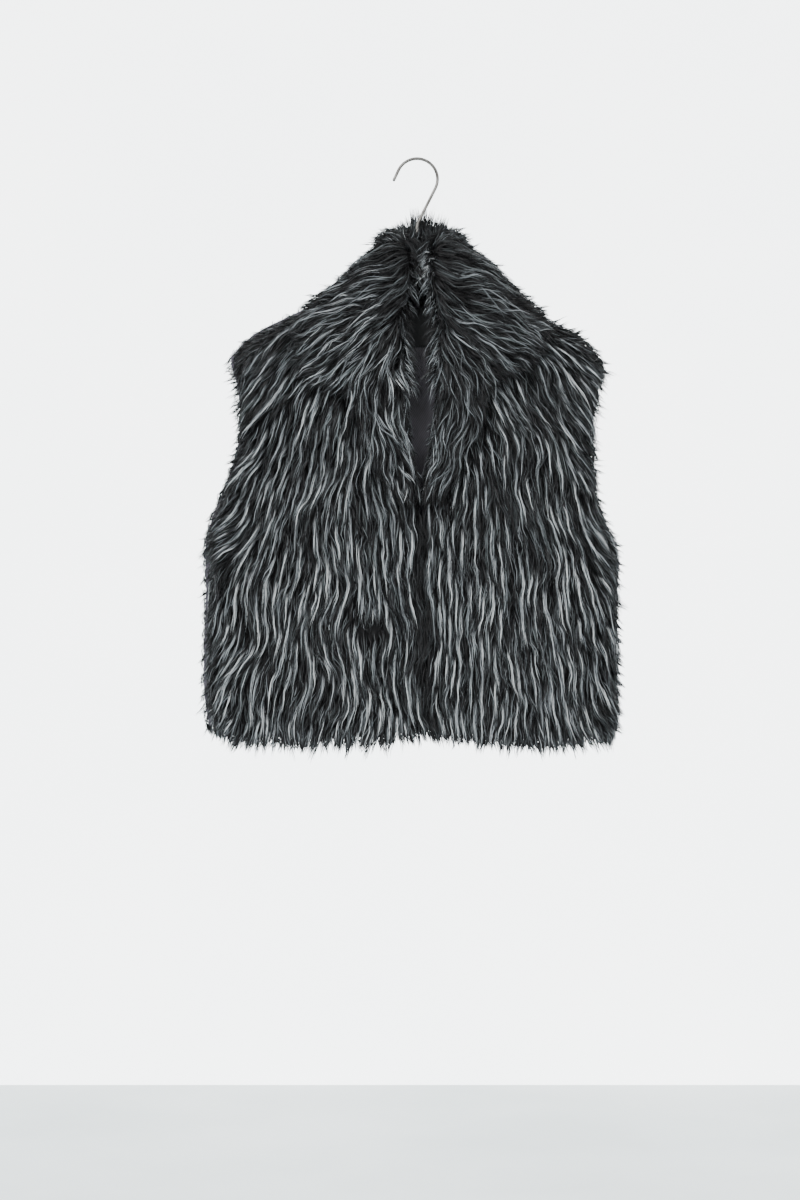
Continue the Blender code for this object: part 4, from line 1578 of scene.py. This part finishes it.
FRONT_COMB = millimetres([
    (-240, -262, -62), (-205, -235, -58), (-165, -225, -48), (-225, -330, -48), (-232, -400, -44),
    (-240, -440, -52), (-262, -485, -68), (-270, -515, -60), (-272, -560, -26), (-274, -620, -16),
    (-274, -680, -34), (-266, -725, -44), (-255, -762, -40), (-190, -300, -22),
    (-150, -345, -16), (-110, -330, -24), (-100, -400, -14), (-60, -370, 4), (-40, -440, 16),
    (-150, -450, -6), (-80, -520, 2), (-180, -560, -3), (-110, -640, 1), (-200, -700, -4),
    (-40, -560, 5), (-40, -700, 4), (-110, -760, -3), (0, -480, 10), (0, -620, 3), (10, -750, 2),
    (-190, -385, -14), (-198, -450, -12), (-208, -510, -14), (-215, -565, -8), (-218, -630, -6),
    (-215, -700, -10), (-205, -750, -12),
    (245, -275, 60), (205, -240, 56), (165, -230, 44), (228, -330, 50), (246, -338, 62), (254, -368, 56),
    (234, -410, 46), (258, -490, 62), (266, -520, 58), (268, -570, 30), (268, -620, 24), (266, -680, 22),
    (260, -730, 36), (250, -765, 36), (190, -310, 22),
    (150, -345, 14), (110, -330, 26), (100, -400, 12), (60, -370, -4), (45, -440, -16),
    (150, -450, 5), (80, -520, -2), (180, -560, 3), (110, -640, -1), (200, -700, 4),
    (50, -560, -5), (50, -700, -3), (110, -760, 3), (180, -385, 10), (185, -440, 3), (195, -500, 6),
    (208, -560, 5), (210, -630, 4), (208, -700, 6), (200, -750, 8),
])
BACK_COMB = millimetres([
    (0, -250, 0), (-120, -240, -14), (120, -240, 14), (-235, -270, -56), (240, -275, 56),
    (-225, -350, -24), (228, -350, 24), (-262, -490, -24), (258, -490, 24), (-100, -420, -3),
    (100, -420, 3), (0, -500, 0), (-180, -600, -4), (180, -600, 4), (0, -700, 0),
    (-265, -760, -24), (262, -765, 24),
])
COLLAR_COMB = millimetres([
    (-10, -92, -120), (20, -92, 118), (-30, -112, -100), (45, -112, 96), (-60, -130, -86),
    (75, -128, 88), (-40, -160, -80), (60, -160, 84), (-90, -170, -72), (105, -170, 80),
    (-120, -200, -66), (140, -205, 74), (-60, -215, -70), (75, -215, 82), (-110, -245, -64),
    (120, -240, 72), (-140, -270, -58), (150, -250, 60), (-60, -260, -52), (70, -260, 60),
    (-100, -285, -46), (110, -270, 50), (-35, -250, -20), (45, -250, 24), (-70, -300, -24),
    (80, -300, 26), (-35, -310, 24), (45, -310, -20), (-55, -340, 0), (65, -340, 8),
    (-30, -370, 30), (42, -370, -34), (-50, -400, 16), (55, -395, -18), (-20, -430, 28),
    (30, -430, -34), (-8, -455, 22), (18, -455, -26), (-18, -200, -50), (28, -200, 55),
    (-14, -150, -60), (24, -150, 60),
])


# Lining, label and hanger


@dataclass(frozen=True)
class BackLining:
    """The satin lining of the back, which shows through the open front."""

    node: str = "lining_back"
    fold: float = 0.0042
    flat_round: float = 0.03
    cuts: int = 2

    def build(self, material: bpy.types.Material, label_box: tuple[Vector, Vector]) -> bpy.types.Object:
        """Makes the lining from its solid, with soft upright folds on its free side.

        Args:
            material: the lining's material.
            label_box: corners of the label, round which it lies flat.

        Returns:
            The piece.
        """
        solid = Surface.of_node(self.node)
        made = bmesh.new()
        corners = [made.verts.new(p) for p in solid.points.tolist()]
        for face in solid.faces.tolist():
            made.faces.new([corners[i] for i in face])
        bmesh.ops.subdivide_edges(made, edges=made.edges[:], cuts=self.cuts, use_grid_fill=True)
        low, high = label_box
        for vert in made.verts:
            _, facing = solid.feet(np.array([vert.co[:]]))
            if facing[0, 1] > -0.2:
                continue
            x, z = vert.co.x, vert.co.z
            out_x = max(low.x - x, x - high.x, 0.0)
            out_z = max(low.z - z, z - high.z, 0.0)
            free = min(1.0, math.hypot(out_x, out_z) / self.flat_round)
            wide, fine = (noise.noise(Vector(at)) for at in ((x * 38, 3.0, z * 7), (x * 90, 7.0, z * 13)))
            vert.co.y -= self.fold * free * max(0.0, 0.45 + (wide + 0.5 * fine))
        bmesh.ops.triangulate(made, faces=made.faces[:])
        piece = place_piece("lining", made, [material], self.node)
        LOG.info("lining: %d triangles", len(piece.data.polygons))
        return piece


@dataclass(frozen=True)
class NeckLabel:
    """A bare woven label, sewn on along its edges."""

    node: str = "neck_label"
    columns: int = 14
    rows: int = 16
    edge: float = 0.0016
    stitch: float = 0.0021
    stitch_gap: float = 0.0011
    thread: float = 0.00022

    def build(self, weave: bpy.types.Material, thread: bpy.types.Material) -> list[bpy.types.Object]:
        """Makes the label and its stitches.

        Args:
            weave: the label's material.
            thread: the stitches' material.

        Returns:
            The label and the stitches.
        """
        low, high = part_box(self.node)
        made = bmesh.new()
        grid = []
        for c in range(self.columns + 1):
            line = []
            for r in range(self.rows + 1):
                u, v = c / self.columns, r / self.rows
                x, z = low.x + (high.x - low.x) * u, low.z + (high.z - low.z) * v
                rim = min(u, 1 - u, v, 1 - v)
                puff = 0.00025 * min(1.0, rim / 0.08) + 0.0003 * math.sin(math.pi * u) * math.sin(math.pi * v)
                line.append((x, low.y + 0.0003 - puff, z))
            grid.append(line)
        front = [[made.verts.new(p) for p in line] for line in grid]
        back = [[made.verts.new((p[0], high.y, p[2])) for p in line] for line in grid]
        for c in range(self.columns):
            for r in range(self.rows):
                made.faces.new((front[c][r], front[c + 1][r], front[c + 1][r + 1], front[c][r + 1]))
                made.faces.new((back[c][r + 1], back[c + 1][r + 1], back[c + 1][r], back[c][r]))
        rim = [(c, 0) for c in range(self.columns)] + [(self.columns, r) for r in range(self.rows)]
        rim += [(c, self.rows) for c in range(self.columns, 0, -1)] + [(0, r) for r in range(self.rows, 0, -1)]
        for (a, b), (c, d) in zip(rim, rim[1:] + rim[:1]):
            made.faces.new((front[a][b], back[a][b], back[c][d], front[c][d]))
        bmesh.ops.recalc_face_normals(made, faces=made.faces[:])
        label = place_piece("label", made, [weave], self.node)
        stitches = self.sew(low, high, thread)
        LOG.info("label and stitches built")
        return [label, stitches]

    def sew(self, low: Vector, high: Vector, thread: bpy.types.Material) -> bpy.types.Object:
        """Runs a line of stitches just inside the label's edge.

        Args:
            low: the label's lowest corner.
            high: its highest corner.
            thread: the stitches' material.

        Returns:
            All the stitches as one piece.
        """
        x0, x1 = low.x + self.edge, high.x - self.edge
        z0, z1 = low.z + self.edge, high.z - self.edge
        lines = [((x0, z0), (x1, z0)), ((x1, z0), (x1, z1)), ((x1, z1), (x0, z1)), ((x0, z1), (x0, z0))]
        made = bmesh.new()
        for start, end in lines:
            length = math.dist(start, end)
            pitch = self.stitch + self.stitch_gap
            for i in range(int(length / pitch)):
                at = (i * pitch + self.stitch / 2 + 0.0005) / length
                x, z = start[0] + (end[0] - start[0]) * at, start[1] + (end[1] - start[1]) * at
                ball = bmesh.ops.create_icosphere(made, subdivisions=1, radius=1.0)["verts"]
                long_x = abs(end[0] - start[0]) > abs(end[1] - start[1])
                sizes = (self.stitch / 2, self.thread, self.thread) if long_x else (
                    self.thread, self.thread, self.stitch / 2)
                for vert in ball:
                    vert.co = Vector((
                        x + vert.co.x * sizes[0],
                        low.y - 0.0002 + vert.co.y * sizes[1],
                        z + vert.co.z * sizes[2],
                    ))
        return place_piece("label_stitches", made, [thread])


@dataclass(frozen=True)
class HangerHook:
    """The hanger's hooked wire, round and smooth, with a rounded tip."""

    node: str = "hanger_hook"
    wire: float = 0.0020
    radius: float = 0.0273
    tip_angle: float = 155.0
    tip_run: float = 0.0140
    leg_angle: float = -26.7
    bend: float = 0.020
    foot_z: float = -0.1438
    sides: int = 20

    def path(self) -> list[Vector]:
        """Works out the wire's middle line.

        Returns:
            Its points from the tip to the foot of the shank.
        """
        centre_z = self.wire - self.radius
        tip, leg = math.radians(self.tip_angle), math.radians(self.leg_angle)

        def on_round(angle: float) -> Vector:
            """Gives the place on the hook's round part at an angle."""
            return Vector((self.radius * math.cos(angle), 0, centre_z + self.radius * math.sin(angle)))

        away = Vector((-math.sin(tip), 0, math.cos(tip)))
        points = [on_round(tip) + away * self.tip_run * share for share in (1.0, 0.66, 0.33)]
        points += [on_round(tip + (leg - tip) * i / 44) for i in range(45)]
        heading = Vector((math.sin(leg), 0, -math.cos(leg)))
        corner = points[-1] + heading * (-points[-1].x / heading.x)
        tangent = self.bend * math.tan(abs(leg) / 2)
        points += [points[-1].lerp(corner, share) for share in (0.3, 0.6)]
        for i in range(13):
            angle = leg * (1 - i / 12)
            points.append(Vector((
                self.bend * (1 - math.cos(angle)), 0, corner.z - tangent - self.bend * math.sin(angle)
            )))
        points += [Vector((0, 0, points[-1].z * (1 - s) + self.foot_z * s)) for s in (0.5, 1.0)]
        return points

    def build(self, material: bpy.types.Material) -> bpy.types.Object:
        """Sweeps the wire along its line.

        Args:
            material: the steel.

        Returns:
            The piece.
        """
        line = self.path()
        lead = (line[0] - line[1]).normalized()
        caps = [(0.95, 0.30), (0.80, 0.60), (0.45, 0.89)]
        rings = [(line[0] + lead * self.wire * rise, self.wire * size) for rise, size in caps]
        rings += [(point, self.wire) for point in line]
        made = bmesh.new()
        loops = []
        for i, (centre, size) in enumerate(rings):
            ahead = rings[min(len(rings) - 1, i + 1)][0] - rings[max(0, i - 1)][0]
            heading = ahead.normalized()
            out = Vector((heading.z, 0, -heading.x))
            loops.append([
                made.verts.new(centre + out * size * math.cos(math.tau * k / self.sides)
                               + Vector((0, size * math.sin(math.tau * k / self.sides), 0)))
                for k in range(self.sides)
            ])
        for a, b in zip(loops, loops[1:]):
            for k in range(self.sides):
                n = (k + 1) % self.sides
                made.faces.new((a[k], a[n], b[n], b[k]))
        made.faces.new(loops[0])
        made.faces.new(loops[-1])
        bmesh.ops.recalc_face_normals(made, faces=made.faces[:])
        LOG.info("hook built")
        return place_piece("hook", made, [material], self.node)


# Studio


@dataclass(frozen=True)
class Studio:
    """The pale room, its soft light and the camera."""

    pixel: float = 0.00133
    middle: tuple[float, float] = (-0.0226, -0.585)
    distance: float = 3.0
    frame_height: int = 1200
    sensor: float = 36.0
    wall_y: float = 4.0
    wall_top: float = 7.0
    floor_z: float = -2.09
    half_width: float = 9.0
    front_y: float = -9.0

    def room(self, wall: bpy.types.Material, floor: bpy.types.Material) -> None:
        """Builds the floor and the wall far behind.

        Args:
            wall: the wall's paint.
            floor: the floor's finish.
        """
        side, front, depth, low, high = self.half_width, self.front_y, self.wall_y, self.floor_z, self.wall_top
        for name, material, corners in (
            ("studio_wall", wall,
             ((-side, depth, low), (side, depth, low), (side, depth, high), (-side, depth, high))),
            ("studio_floor", floor,
             ((-side, front, low), (side, front, low), (side, depth, low), (-side, depth, low))),
        ):
            mesh = bpy.data.meshes.new(name)
            mesh.from_pydata(corners, [], [(0, 1, 2, 3)])
            mesh.materials.append(material)
            sheet = bpy.data.objects.new(name, mesh)
            bpy.context.scene.collection.objects.link(sheet)

    def light(self) -> None:
        """Hangs the soft lights and sets the sky."""
        world = bpy.data.worlds.new("studio_air")
        world.use_nodes = True
        sky = world.node_tree.nodes["Background"]
        sky.inputs[0].default_value = linear("#f2f4f8")
        sky.inputs[1].default_value = 1.45
        bpy.context.scene.world = world
        for name, place, size, power in (
            ("key", (-1.1, -2.4, 1.3), 1.6, 70.0),
            ("fill", (1.9, -2.0, 0.2), 2.2, 20.0),
            ("rim", (0.4, 1.6, 1.6), 1.6, 30.0),
        ):
            lamp = bpy.data.lights.new(name, "AREA")
            lamp.shape = "SQUARE"
            lamp.size = size
            lamp.energy = power
            holder = bpy.data.objects.new(name, lamp)
            holder.location = place
            aim = Vector((0, 0, -0.45)) - Vector(place)
            holder.rotation_euler = aim.to_track_quat("-Z", "Y").to_euler()
            bpy.context.scene.collection.objects.link(holder)

    def camera(self) -> None:
        """Sets the camera square to the vest, as in the photograph."""
        data = bpy.data.cameras.new("camera")
        data.sensor_width = self.sensor
        data.sensor_fit = "AUTO"
        data.lens = self.sensor * self.distance / (self.frame_height * self.pixel)
        data.clip_end = 60.0
        holder = bpy.data.objects.new("camera", data)
        holder.location = (self.middle[0], -self.distance, self.middle[1])
        holder.rotation_euler = (math.radians(90), 0, 0)
        bpy.context.scene.collection.objects.link(holder)
        bpy.context.scene.camera = holder


def main() -> None:
    """Builds every piece in order."""
    logging.basicConfig(level=logging.INFO, format="%(name)s: %(message)s")
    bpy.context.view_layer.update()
    studio = Studio()
    studio.camera()
    studio.light()
    studio.room(
        StudioFinish("wall_paint", "#edf1f2", "#f3f5f5", 4.3).make(),
        StudioFinish("floor_paint", "#cdd3d3", "#dce1e1", 0.25).make(),
    )

    pile = PileFinish().make()
    backing = BackingFinish().make()
    satin = SatinFinish().make()
    steel = SteelFinish().make()

    front_left = Cloth("cloth_front_left", "front_left", Cut(0.33, 0.63, 0.165))
    front_right = Cloth("cloth_front_right", "front_right", Cut(0.31, 0.63, 0.155))
    back = Cloth("cloth_back", "back", Cut(0.60, 0.60, 0.325))
    collar = Cloth("cloth_collar", "collar", Cut(1.10, 0.17, 0.150), thickness=0.0030, hem=None)
    for cloth, inside in ((front_left, satin), (front_right, satin), (back, satin), (collar, backing)):
        cloth.build(backing, inside)

    cover = collar.envelope
    parting = Parting(x=-0.0625, z=-0.621, half_width=0.016, half_height=0.004)
    ground = Layer(length=(0.034, 0.058), height=(0.0045, 0.0095), lift=0.024, stray=8, sway=7,
                   hook=20, kinds=(GROUND_HAIR, FINE_HAIR))
    light = Layer(length=(0.052, 0.084), height=(0.0085, 0.0115), lift=0.004, stray=1.3, sway=2.0,
                  hook=18, kinds=(LIGHT_CORE, LIGHT_WISP), least=0.45)
    collar_ground = Layer(length=(0.036, 0.060), height=(0.0040, 0.0095), lift=0.024, stray=8, sway=8,
                          hook=18, kinds=(COLLAR_HAIR, COLLAR_FINE))
    collar_light = Layer(length=(0.040, 0.076), height=(0.0080, 0.0115), lift=0.006, stray=12, sway=9,
                         hook=42, kinds=(COLLAR_CORE, COLLAR_WISP), least=0.45)
    hem, reach = (0.006, 0.034), (-0.0050, 0.0040)
    fronts = Comb(FRONT_COMB, TORSO_BENDS)
    halves = (Side.LEFT, Side.RIGHT)
    plans = (
        CoatPlan("fur_front_left", 11, 2300, ground, light, 0.0155, hem, reach,
                 closing=Closing(), partings=(parting,)),
        CoatPlan("fur_front_right", 12, 2300, ground, light, 0.0155, hem, reach, closing=Closing()),
        CoatPlan("fur_back", 13, 2500, ground, light, 0.0180, hem, reach, sides=halves),
        CoatPlan("fur_collar", 14, 3300, collar_ground, collar_light, 0.0122, (0.005, 0.022), (0.000, 0.0085),
                 in_lines=False, sides=halves, neck=NeckShade(), hem_z=None),
    )
    for coat in (
        Coat(plans[0], front_left, fronts, cover),
        Coat(plans[1], front_right, fronts, cover),
        Coat(plans[2], back, Comb(BACK_COMB, TORSO_BENDS), cover),
        Coat(plans[3], collar, CollarComb(COLLAR_COMB, COLLAR_BENDS, 0.024)),
    ):
        hairs = coat.build(pile)
        if coat.cloth is collar:
            hairs.append(NeckTufts(NECK_BANDS, cover).build(pile))
        coat.cloth.declare(hairs)

    lining = BackLining().build(satin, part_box("neck_label"))
    label, stitches = NeckLabel().build(LabelFinish().make(), ThreadFinish().make())

    HangerHook().build(steel)
    for solid_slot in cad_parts["hanger_bar"].material_slots:
        solid_slot.material = steel


if __name__ == "__main__":
    main()
